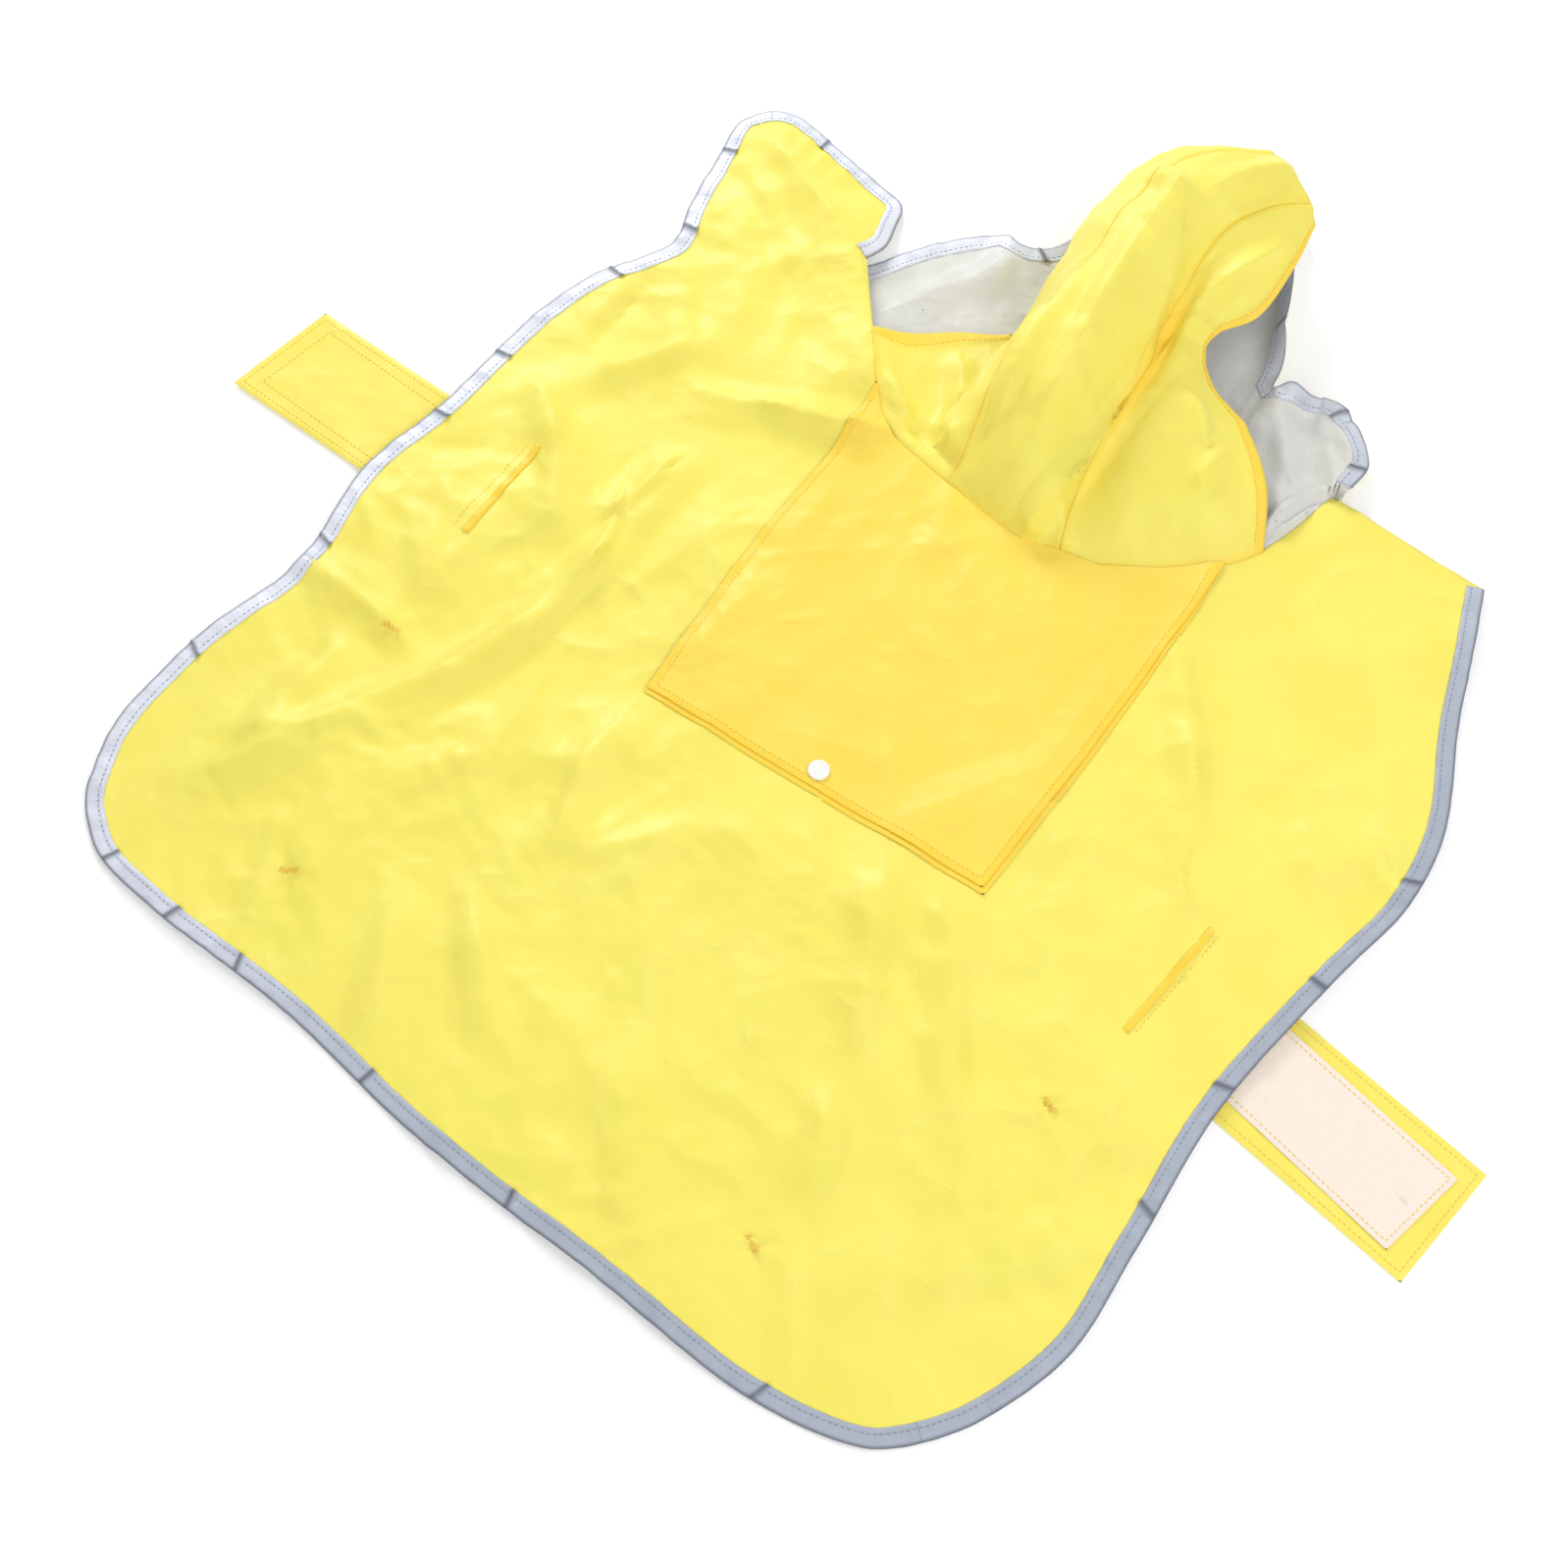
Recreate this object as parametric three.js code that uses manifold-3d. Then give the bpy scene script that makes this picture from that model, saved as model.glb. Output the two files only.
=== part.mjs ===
// Dog raincoat with a hood, laid out with its outer side up. Millimetres, head toward +Y.
// The origin is on the underside in the middle of the back, where the cloth lies flat.

import * as THREE from 'three';
import Module from 'manifold-3d';

const wasm = await Module();
wasm.setup();

// Cloth and seams
const CLOTH = 1.2;                    // coated cloth, kept as a wall
const SEAM = 0.3;                     // space between sewn pieces
const BIND_WIDTH = 10;                // reflective binding, on each face of the cloth
const BIND_CLOTH = 0.6;               // one thickness of the binding
const BIND_REACH = BIND_CLOTH + SEAM; // from the binding's outside to the cloth in it
const BORDER = BIND_WIDTH;            // flat border along every edge
const MITRE_LIMIT = 1.6;              // how far a corner of the border may reach, in borders

// Straps and tapes
const STRAP = 1.5;
const HOOK_TAPE = 1.0;
const LOOP_TAPE = 1.0;
const LEFT_STRAP_Z = HOOK_TAPE + SEAM;
const RIGHT_TAPE_Z = STRAP + SEAM;
const OVER_CHEST = CLOTH + SEAM;      // cloth that lies on the chest pieces
const OVER_STRAP = LEFT_STRAP_Z + STRAP + SEAM;   // cloth that lies on a strap and its tape

// Storage pouch on the back
const POUCH_GAP = 0.4;
const POUCH_RIM = 3;                  // the lower layer shows this far at the bottom and right
const SNAP = { x: 7.4, y: 52, radius: 6, height: 1.6, shoulder: 0.7, sides: 24 };

// Edge of the back panel, outside of its binding, anticlockwise. Columns: x, y
const TAIL = [
  { x: -284, y: -205 }, { x: -255, y: -222 }, { x: -208, y: -227 }, { x: -113, y: -225 },
  { x: -19, y: -232 }, { x: 95, y: -230 }, { x: 189, y: -228 }, { x: 246, y: -212 }, { x: 265, y: -194 },
];
const RIGHT_SIDE = [
  { x: 265, y: -194 }, { x: 279, y: -170 }, { x: 294, y: -118 }, { x: 289, y: -57 }, { x: 280, y: 28 },
  { x: 287, y: 123 }, { x: 293, y: 184 }, { x: 284, y: 232 }, { x: 257, y: 288 }, { x: 241, y: 326 },
  { x: 222, y: 372 },
];
const RIGHT_FOLD = [{ x: 222, y: 372 }, { x: 172, y: 371 }, { x: 123, y: 370 }];
const NECK_RIGHT = [{ x: 123, y: 370 }, { x: 119, y: 345 }, { x: 112, y: 317 }];
const NECK = [
  { x: 112, y: 317 }, { x: 103, y: 300 }, { x: 76, y: 272 }, { x: 47, y: 252 }, { x: 0, y: 238 },
  { x: -49, y: 241 }, { x: -94, y: 247 }, { x: -111, y: 256 }, { x: -125, y: 271 },
];
const FLAP_FOLD = [{ x: -125, y: 271 }, { x: -151, y: 300 }, { x: -183, y: 336 }];
const FLAP_SIDE = [{ x: -183, y: 336 }, { x: -181, y: 352 }, { x: -189, y: 375 }, { x: -194, y: 389 }];
const FLAP_TOP = [{ x: -194, y: 389 }, { x: -236, y: 395 }, { x: -288, y: 402 }, { x: -304, y: 395 }];
const LEFT_SIDE = [
  { x: -304, y: 395 }, { x: -313, y: 376 }, { x: -307, y: 350 }, { x: -295, y: 307 }, { x: -284, y: 274 },
  { x: -304, y: 232 }, { x: -312, y: 189 }, { x: -309, y: 104 }, { x: -314, y: 45 }, { x: -301, y: -21 },
  { x: -309, y: -104 }, { x: -304, y: -165 }, { x: -284, y: -205 },
];

// Steps of the back panel's four sides. The tail has as many as the head edge, which starts with four
// runs that have no binding, from the right fold to the flap's fold
const HEAD_RUNS = [
  { rows: RIGHT_FOLD, steps: 5 }, { rows: NECK_RIGHT, steps: 3 }, { rows: NECK, steps: 15 },
  { rows: FLAP_FOLD, steps: 4 }, { rows: FLAP_SIDE, steps: 3 }, { rows: FLAP_TOP, steps: 6 },
];
const UNBOUND_RUNS = 4;
const SIDE_STEPS = 28;

// Edge of the chest panel, which lies under the hood with its inside up. Columns: x, y
const CHEST_NECK = [
  { x: -141, y: 264 }, { x: -100, y: 258 }, { x: -49, y: 249 }, { x: 0, y: 246 }, { x: 40, y: 259 },
  { x: 66, y: 275 }, { x: 88, y: 298 }, { x: 102, y: 328 },
];
const CHEST_END = [{ x: 102, y: 328 }, { x: 107, y: 352 }, { x: 112, y: 369 }, { x: 125, y: 381 }];
const CHEST_TAB = [
  { x: 125, y: 381 }, { x: 127, y: 398 }, { x: 112, y: 414 }, { x: 91, y: 424 }, { x: 75, y: 420 },
  { x: 57, y: 406 },
];
const CHEST_HEM = [
  { x: 57, y: 406 }, { x: 53, y: 425 }, { x: 42, y: 456 }, { x: 20, y: 497 }, { x: 0, y: 529 },
  { x: -28, y: 534 }, { x: -62, y: 512 }, { x: -85, y: 478 }, { x: -97, y: 439 }, { x: -106, y: 417 },
  { x: -120, y: 406 }, { x: -134, y: 406 }, { x: -150, y: 392 }, { x: -170, y: 365 }, { x: -181, y: 343 },
  { x: -193, y: 326 },
];
const CHEST_FOLD = [{ x: -193, y: 326 }, { x: -168, y: 294 }, { x: -141, y: 264 }];
const CHEST_RUNS = [{ rows: CHEST_TAB, steps: 7 }, { rows: CHEST_HEM, steps: 23 }];
const CHEST_SIDE_STEPS = 6;

// The right chest piece, folded back under the shoulder. Columns: x, y
const SHOULDER_FACING = [
  { x: 127, y: 368 }, { x: 140, y: 292 }, { x: 192, y: 290 }, { x: 214, y: 330 }, { x: 214, y: 369 },
];

// Pouch outline from its lower left corner. Columns: x, y, and how much further the lower layer goes
const POUCH = [
  { x: -97, y: 34, right: 0, down: POUCH_RIM }, { x: 116, y: 51, right: POUCH_RIM, down: POUCH_RIM },
  { x: 112, y: 150, right: POUCH_RIM, down: 0 }, { x: 105, y: 260, right: POUCH_RIM, down: 0 },
  { x: 98, y: 320, right: POUCH_RIM, down: 0 }, { x: -112, y: 320, right: 0, down: 0 },
  { x: -122, y: 268, right: 0, down: 0 }, { x: -116, y: 233, right: 0, down: 0 },
  { x: -112, y: 150, right: 0, down: 0 },
];

// Straps, their tapes and the tucks that hold them. Columns: x, y
const LEFT_STRAP = [{ x: -416, y: 39 }, { x: -248, y: 42 }, { x: -254, y: 112 }, { x: -410, y: 109 }];
const LEFT_HOOKS = [{ x: -402, y: 51 }, { x: -302, y: 51 }, { x: -302, y: 99 }, { x: -397, y: 99 }];
const RIGHT_STRAP = [{ x: 218, y: 29 }, { x: 396, y: 11 }, { x: 400, y: 83 }, { x: 224, y: 101 }];
const RIGHT_LOOPS = [{ x: 264, y: 37 }, { x: 382, y: 20 }, { x: 390, y: 72 }, { x: 268, y: 88 }];
const LEFT_TUCK = [{ x: -240, y: 43 }, { x: -236, y: 44 }, { x: -243, y: 114 }, { x: -247, y: 113 }];
const RIGHT_TUCK = [{ x: 218, y: 32 }, { x: 221.5, y: 32 }, { x: 224, y: 104 }, { x: 220.5, y: 104 }];

// Where the back panel rides over what lies under it. Columns: the area, the height, the fading margin
const RISES = [
  { x1: -420, x2: -246, y1: 38, y2: 112, height: OVER_STRAP, fade: 34 },
  { x1: 222, x2: 400, y1: 16, y2: 98, height: OVER_STRAP, fade: 34 },
  { x1: 124, x2: 216, y1: 288, y2: 372, height: OVER_CHEST, fade: 30 },
  { x1: -195, x2: -122, y1: 262, y2: 345, height: 2 * OVER_CHEST, fade: 30 },
];
const RISE_LEVEL = 20;                // level margin round a rise

// Folds of the back panel, from one end to the other. Columns: ends, height, half width
const BACK_FOLDS = [
  { x1: -292, y1: 380, x2: -200, y2: 342, height: 13, half: 42 },
  { x1: -205, y1: 326, x2: -130, y2: 264, height: 8, half: 30 },
  { x1: -270, y1: 300, x2: -215, y2: 262, height: 6, half: 26 },
  { x1: -110, y1: 235, x2: -208, y2: 200, height: 6, half: 20 },
  { x1: -215, y1: 235, x2: -262, y2: 165, height: 7, half: 24 },
  { x1: -272, y1: 147, x2: -198, y2: 78, height: 7, half: 22 },
  { x1: -180, y1: 155, x2: -170, y2: 66, height: 7, half: 22 },
  { x1: -168, y1: 90, x2: -180, y2: -8, height: 6, half: 22 },
  { x1: -174, y1: 22, x2: -216, y2: -82, height: 8, half: 24 },
  { x1: -296, y1: -22, x2: -212, y2: -28, height: 6, half: 18 },
  { x1: -243, y1: -56, x2: -236, y2: -128, height: 6, half: 22 },
  { x1: -206, y1: -88, x2: -242, y2: -158, height: 6, half: 22 },
  { x1: -96, y1: 12, x2: -76, y2: -70, height: 5, half: 20 },
  { x1: 58, y1: 44, x2: 136, y2: -82, height: 6, half: 22 },
  { x1: 100, y1: 40, x2: 190, y2: -62, height: 7, half: 24 },
  { x1: 108, y1: 240, x2: 168, y2: 168, height: 6, half: 22 },
  { x1: 150, y1: 190, x2: 232, y2: 110, height: 6, half: 22 },
  { x1: 135, y1: 352, x2: 205, y2: 308, height: 5, half: 26 },
  { x1: 196, y1: -158, x2: 252, y2: -80, height: 6, half: 28 },
  { x1: 122, y1: -84, x2: 148, y2: -134, height: 5, half: 20 },
  { x1: -80, y1: -118, x2: -26, y2: -168, height: 6, half: 22 },
  { x1: -120, y1: -142, x2: -72, y2: -206, height: 6, half: 22 },
  { x1: 30, y1: -140, x2: 92, y2: -196, height: 5, half: 24 },
];

// Folds of the chest panel, whose free edges curl up. Columns: ends, height, half width
const CHEST_FOLDS = [
  { x1: 136, y1: 372, x2: 104, y2: 430, height: 9, half: 24 },
  { x1: 70, y1: 392, x2: 24, y2: 508, height: 9, half: 22 },
  { x1: 62, y1: 420, x2: 66, y2: 384, height: 5, half: 14 },
  { x1: -128, y1: 420, x2: -120, y2: 376, height: 5, half: 16 },
  { x1: -112, y1: 420, x2: -84, y2: 470, height: 4, half: 18 },
];

// Sections of the hood from just above the neck seam to the peak. Each gives the left hem, the lowest
// point of the left side, the left seam, the rise of the middle strip above its seams, the right seam,
// the bulge of the right side and the right hem. Points are x, y, z
const HOOD_SECTIONS = [
  { hemL: [-134, 310, 3], sideL: [-78, 262, 4], seamL: [-54, 273, 24], rise: 17,
    seamR: [16, 264, 10], bulge: 8, hemR: [92, 346, 11] },
  { hemL: [-111, 330, 3], sideL: [-74, 304, 7], seamL: [-56, 308, 40], rise: 22,
    seamR: [0, 323, 20], bulge: 9, hemR: [61, 370, 15] },
  { hemL: [-82, 348, 5], sideL: [-80, 352, 10], seamL: [-59, 352, 50], rise: 21,
    seamR: [-3, 365, 32], bulge: 4, hemR: [31, 378, 20] },
  { hemL: [-62, 388, 8], sideL: [-85, 397, 19], seamL: [-61, 387, 56], rise: 16,
    seamR: [-10, 404, 44], bulge: 2, hemR: [12, 401, 26] },
  { hemL: [-50, 435, 14], sideL: [-87, 442, 31], seamL: [-65, 427, 58], rise: 11,
    seamR: [-16, 449, 52], bulge: 2, hemR: [27, 429, 30] },
  { hemL: [-38, 486, 24], sideL: [-71, 488, 44], seamL: [-57, 480, 58], rise: 7,
    seamR: [-6, 482, 52], bulge: 1, hemR: [26, 463, 36] },
  { hemL: [-18, 514, 38], sideL: [-30, 521, 44], seamL: [-25, 520, 49], rise: 3,
    seamR: [9, 507, 45], bulge: 0, hemR: [18, 498, 39] },
];
const HOOD_ROWS = 18;                 // cells from the neck to the peak
const HOOD_COLUMNS = 8;               // cells across each of the three panels
const HOOD_SEAT = 0.9;                // the hood's lowest edge stands this far outside the neck
const HOOD_CORNER = { x: -148, y: 297 };  // where the left hem meets the flap
const NECK_SHARES = [1, 0.845, 0.62, 0.5, 0.375, 0.17, 0];   // along the neck, at the hood's seven guides

const TALL = 100;                     // more than any piece is high
const NEARLY_ONE = 0.999999;          // the last place on a curve that still has a stretch after it

// Colours
const YELLOW = new THREE.MeshStandardMaterial({ color: 0xf7e36a, roughness: 0.5, metalness: 0 });
const POUCH_YELLOW = new THREE.MeshStandardMaterial({ color: 0xfbdc55, roughness: 0.5, metalness: 0 });
const LINING_GREY = new THREE.MeshStandardMaterial({ color: 0xdfe0dc, roughness: 0.6, metalness: 0 });
const BINDING_GREY = new THREE.MeshStandardMaterial({ color: 0xaab2c2, roughness: 0.45, metalness: 0.1 });
const TAPE_BEIGE = new THREE.MeshStandardMaterial({ color: 0xf3e6d6, roughness: 0.9, metalness: 0 });
const SNAP_WHITE = new THREE.MeshStandardMaterial({ color: 0xf6f6f4, roughness: 0.3, metalness: 0 });

const raincoat = new THREE.Group();

function add(name, geometry, material) {
  const mesh = new THREE.Mesh(geometry, material);
  mesh.name = name;
  raincoat.add(mesh);
}

// A geometry from its points and the triangles between them
function geometryOf(points, triangles) {
  const geometry = new THREE.BufferGeometry();
  geometry.setAttribute('position', new THREE.Float32BufferAttribute(points.flat(), 3));
  geometry.setIndex(triangles.flat());
  return geometry;
}

// A smooth curve through the rows of a table, as evenly spaced points
function along(rows, steps) {
  const curve = new THREE.CatmullRomCurve3(rows.map(({ x, y }) => new THREE.Vector3(x, y, 0)));
  curve.curveType = 'centripetal';
  return curve.getSpacedPoints(steps);
}

// Several runs of an edge in one row of points, with a corner where two runs meet
function alongRuns(runs) {
  const parts = runs.map(({ rows, steps }) => along(rows, steps));
  return parts.flatMap((points, i) => (i < parts.length - 1 ? points.slice(0, -1) : points));
}

const stepsOf = (runs) => runs.reduce((sum, { steps }) => sum + steps, 0);

// A half wave from 1 at 0 to 0 at 1
const bump = (share) => (share < 1 ? 0.5 + 0.5 * Math.cos(Math.PI * share) : 0);

// Height of one fold over a point: a half wave across it, fading toward both of its ends
function foldHeight({ x1, y1, x2, y2, height, half }, x, y) {
  const length = Math.hypot(x2 - x1, y2 - y1);
  const run = ((x - x1) * (x2 - x1) + (y - y1) * (y2 - y1)) / length;
  const off = Math.abs((x - x1) * (y2 - y1) - (y - y1) * (x2 - x1)) / length;
  const beyond = Math.abs(run - length / 2) / (length / 2 + half);
  return height * bump(off / half) * bump(beyond * beyond);
}

// Height of one rise over a point: level over its area and a little beyond, then fading away
function riseHeight({ x1, x2, y1, y2, height, fade }, x, y) {
  const away = Math.hypot(Math.max(x1 - x, 0, x - x2), Math.max(y1 - y, 0, y - y2));
  return height * bump(Math.max(away - RISE_LEVEL, 0) / fade);
}

function backHeight(x, y) {
  const folds = BACK_FOLDS.reduce((sum, fold) => sum + foldHeight(fold, x, y), 0);
  return RISES.reduce((top, rise) => Math.max(top, riseHeight(rise, x, y)), 0) + folds;
}

const chestHeight = (x, y) => CHEST_FOLDS.reduce((sum, fold) => sum + foldHeight(fold, x, y), 0);

// Points inside four boundary rows, each blended from the point across and the point along it
function fillBetween(bottom, top, left, right) {
  const across = bottom.length - 1;
  const up = left.length - 1;
  const rows = [];
  for (let j = 0; j <= up; j += 1) {
    const v = j / up;
    rows.push(bottom.map((foot, i) => {
      const u = i / across;
      const blend = (axis) => (1 - v) * foot[axis] + v * top[i][axis]
        + (1 - u) * left[j][axis] + u * right[j][axis]
        - (1 - v) * ((1 - u) * bottom[0][axis] + u * bottom[across][axis])
        - v * ((1 - u) * top[0][axis] + u * top[across][axis]);
      return new THREE.Vector3(blend('x'), blend('y'), 0);
    }));
  }
  return rows;
}

// A cloth panel laid out on the ground. Its sides run anticlockwise; bound says which points of the
// edge a binding holds. A flat border follows the edge, and a grid fills what is inside it.
function clothPanel({ bottom, right, top, left, bound, heightAt }) {
  const edge = [bottom, right, top, left].flatMap((side) => side.slice(0, -1));
  const count = edge.length;
  const at = (k) => edge[(k + count) % count];
  const stations = edge.map((point, k) => {
    const before = at(k).clone().sub(at(k - 1)).normalize();
    const after = at(k + 1).clone().sub(at(k)).normalize();
    const inward = new THREE.Vector3(-before.y - after.y, before.x + after.x, 0);
    inward.divideScalar(1 + before.dot(after));
    if (inward.length() > MITRE_LIMIT) inward.setLength(MITRE_LIMIT);
    const isBound = bound(k);
    const border = point.clone().addScaledVector(inward, BORDER);
    const cloth = point.clone().addScaledVector(inward, isBound ? BIND_REACH : 0);
    const height = heightAt(border.x, border.y) + (isBound ? BIND_REACH : 0);
    return { point, inward, cloth, border, height };
  });
  const across = bottom.length - 1;
  const up = right.length - 1;
  const corner = [0, across, across + up, 2 * across + up];
  const borderRun = (from, steps) => Array.from({ length: steps + 1 }, (_, i) => (
    stations[(from + i) % count].border));
  const rows = fillBetween(borderRun(corner[0], across), borderRun(corner[2], across).reverse(),
    borderRun(corner[3], up).reverse(), borderRun(corner[1], up));

  const points = [
    ...stations.map(({ cloth, height }) => [cloth.x, cloth.y, height]),
    ...stations.map(({ border, height }) => [border.x, border.y, height]),
  ];
  const inner = (i, j) => 2 * count + (j - 1) * (across - 1) + i - 1;
  for (let j = 1; j < up; j += 1) {
    for (let i = 1; i < across; i += 1) {
      points.push([rows[j][i].x, rows[j][i].y, heightAt(rows[j][i].x, rows[j][i].y)]);
    }
  }
  const gridIndex = (i, j) => {
    if (j === 0) return count + i;
    if (i === across) return count + corner[1] + j;
    if (j === up) return count + corner[2] + across - i;
    if (i === 0) return count + ((corner[3] + up - j) % count);
    return inner(i, j);
  };
  const cells = stations.map((_, k) => [k, (k + 1) % count, count + ((k + 1) % count), count + k]);
  for (let j = 0; j < up; j += 1) {
    for (let i = 0; i < across; i += 1) {
      cells.push([gridIndex(i, j), gridIndex(i + 1, j), gridIndex(i + 1, j + 1), gridIndex(i, j + 1)]);
    }
  }
  stations.forEach((station, k) => { station.splitsForward = splitsForward(points, cells[k]); });
  const rim = stations.map((_, k) => k);
  return { stations, geometry: wallOver(points, cells, rim, () => [0, 0, CLOTH]) };
}

// Whether a four-cornered cell is shorter from its first corner to its third than across that
function splitsForward(points, [a, b, c, d]) {
  const span = (i, j) => Math.hypot(...points[i].map((value, axis) => value - points[j][axis]));
  return span(a, c) <= span(b, d);
}

// Two triangles of a four-cornered cell, split along its shorter diagonal
function split(points, cell) {
  const [a, b, c, d] = cell;
  return splitsForward(points, cell) ? [[a, b, c], [a, c, d]] : [[a, b, d], [b, c, d]];
}

// A wall on a surface of cells: its points, the same points moved by the thickness, and its rim
function wallOver(points, cells, rim, thicknessAt) {
  const count = points.length;
  const lifted = points.map((point, i) => point.map((value, axis) => value + thicknessAt(i)[axis]));
  const faces = cells.flatMap((cell) => split(points, cell));
  const under = faces.map(([a, b, c]) => [c, b, a]);
  const over = faces.map((face) => face.map((i) => i + count));
  const side = rim.flatMap((a, k) => {
    const b = rim[(k + 1) % rim.length];
    return [[a, b, b + count], [a, b + count, a + count]];
  });
  return geometryOf([...points, ...lifted], [...under, ...over, ...side]);
}

// A folded binding along a run of a panel's edge, open toward the cloth. Its faces are split as the
// border of the cloth is, so that both stay parallel
function binding(stations, from, to) {
  const low = -BIND_REACH;
  const high = CLOTH + BIND_REACH;
  const profile = [
    [0, low], [0, high], [BIND_WIDTH, high], [BIND_WIDTH, high - BIND_CLOTH],
    [BIND_CLOTH, high - BIND_CLOTH], [BIND_CLOTH, low + BIND_CLOTH],
    [BIND_WIDTH, low + BIND_CLOTH], [BIND_WIDTH, low],
  ];
  const sectionAt = (k) => {
    const { point, inward, height } = stations[k % stations.length];
    return profile.map(([reach, rise]) => [
      point.x + reach * inward.x, point.y + reach * inward.y, height + rise]);
  };
  const sections = [];
  for (let k = from; k <= to; k += 1) sections.push(sectionAt(k));
  const last = sections.length - 1;
  const shorten = (end, next) => sections[end].map((point, i) => {
    const step = point.map((value, axis) => sections[next][i][axis] - value);
    const share = SEAM / 2 / Math.hypot(...step);
    return point.map((value, axis) => value + share * step[axis]);
  });
  const [first, final] = [shorten(0, 1), shorten(last, last - 1)];
  sections[0] = first;
  sections[last] = final;
  const sides = profile.length;
  const points = sections.flat();
  const faces = [];
  for (let k = 0; k < last; k += 1) {
    for (let i = 0; i < sides; i += 1) {
      const next = (i + 1) % sides;
      const [a, b] = [k * sides + i, k * sides + next];
      const outerFirst = profile[i][0] <= profile[next][0];
      if (outerFirst === stations[(from + k) % stations.length].splitsForward) {
        faces.push([b, a, b + sides], [a, a + sides, b + sides]);
      } else {
        faces.push([b, a, a + sides], [b, a + sides, b + sides]);
      }
    }
  }
  const caps = [[0, 1, 4], [0, 4, 5], [1, 2, 3], [1, 3, 4], [0, 5, 6], [0, 6, 7]];
  const finish = caps.map(([a, b, c]) => [c, b, a].map((i) => i + last * sides));
  return geometryOf(points, [...faces, ...caps, ...finish]);
}

// A flat piece with a straight-sided outline
function flatPiece(rows, z, thickness) {
  const shape = new THREE.Shape(rows.map(({ x, y }) => new THREE.Vector2(x, y)));
  const geometry = new THREE.ExtrudeGeometry(shape, { depth: thickness, bevelEnabled: false });
  return geometry.translate(0, 0, z);
}

// Solids for cutting, from a geometry and back
function solidOf(geometry) {
  const position = geometry.getAttribute('position');
  const vertProperties = new Float32Array(position.array);
  const triVerts = new Uint32Array(geometry.getIndex() ? geometry.getIndex().array : position.count);
  if (!geometry.getIndex()) triVerts.forEach((_, i) => { triVerts[i] = i; });
  const mesh = new wasm.Mesh({ numProp: 3, vertProperties, triVerts });
  mesh.merge();
  return new wasm.Manifold(mesh);
}

function geometryFrom(solid) {
  const mesh = solid.getMesh();
  const geometry = new THREE.BufferGeometry();
  geometry.setAttribute('position', new THREE.BufferAttribute(new Float32Array(mesh.vertProperties), 3));
  geometry.setIndex(new THREE.BufferAttribute(new Uint32Array(mesh.triVerts), 1));
  return geometry;
}

// A piece that lies on the back panel: the panel's own points, lifted and cut to an outline
function layer(panel, rows, lift) {
  const cutter = solidOf(flatPiece(rows, -TALL / 2, TALL));
  return geometryFrom(solidOf(panel).translate([0, 0, lift]).intersect(cutter));
}

// Back panel, with the neckline and the left shoulder flap in its head edge
const tailEnd = stepsOf(HEAD_RUNS);
const rightEnd = tailEnd + SIDE_STEPS;
const flapStart = rightEnd + stepsOf(HEAD_RUNS.slice(0, UNBOUND_RUNS));
const headEnd = rightEnd + tailEnd;
const back = clothPanel({
  bottom: along(TAIL, tailEnd),
  right: along(RIGHT_SIDE, SIDE_STEPS),
  top: alongRuns(HEAD_RUNS),
  left: along(LEFT_SIDE, SIDE_STEPS),
  bound: (k) => k <= rightEnd || k >= flapStart,
  heightAt: backHeight,
});
add('back_panel', back.geometry, YELLOW);

add('binding_tail', binding(back.stations, 0, tailEnd), BINDING_GREY);
add('binding_right', binding(back.stations, tailEnd, rightEnd), BINDING_GREY);
add('binding_flap', binding(back.stations, flapStart, headEnd), BINDING_GREY);
add('binding_left', binding(back.stations, headEnd, headEnd + SIDE_STEPS), BINDING_GREY);

// Chest panel and the right chest piece
const hemStart = stepsOf(CHEST_RUNS) + CHEST_SIDE_STEPS;
const tabEnd = hemStart + CHEST_RUNS[0].steps;
const hemEnd = hemStart + stepsOf(CHEST_RUNS);
const chest = clothPanel({
  bottom: along(CHEST_NECK, stepsOf(CHEST_RUNS)),
  right: along(CHEST_END, CHEST_SIDE_STEPS),
  top: alongRuns(CHEST_RUNS),
  left: along(CHEST_FOLD, CHEST_SIDE_STEPS),
  bound: (k) => k >= hemStart && k <= hemEnd,
  heightAt: chestHeight,
});
add('chest_panel', chest.geometry, LINING_GREY);
add('binding_chest_tab', binding(chest.stations, hemStart, tabEnd), BINDING_GREY);
add('binding_chest', binding(chest.stations, tabEnd, hemEnd), BINDING_GREY);
add('shoulder_facing', flatPiece(SHOULDER_FACING, 0, CLOTH), LINING_GREY);

// Pouch: a lower and an upper layer on the back panel, closed by a snap
const pouchTall = CLOTH + POUCH_GAP;
const lowerPouch = POUCH.map(({ x, y, right, down }) => ({ x: x + right, y: y - down }));
add('pouch_lower', layer(back.geometry, lowerPouch, pouchTall), POUCH_YELLOW);
add('pouch_upper', layer(back.geometry, POUCH, 2 * pouchTall), POUCH_YELLOW);

const snapProfile = [[0, 0], [SNAP.radius, 0], [SNAP.radius, SNAP.shoulder * SNAP.height],
  [SNAP.shoulder * SNAP.radius, SNAP.height], [0, SNAP.height]];
const snapBase = backHeight(SNAP.x, SNAP.y) + 2 * pouchTall + CLOTH + SEAM;
const snapRows = snapProfile.map(([reach, rise]) => new THREE.Vector2(reach, rise));
const snap = new THREE.LatheGeometry(snapRows, SNAP.sides);
snap.rotateX(Math.PI / 2).translate(SNAP.x, SNAP.y, snapBase);
add('snap_cap', snap, SNAP_WHITE);

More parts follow.
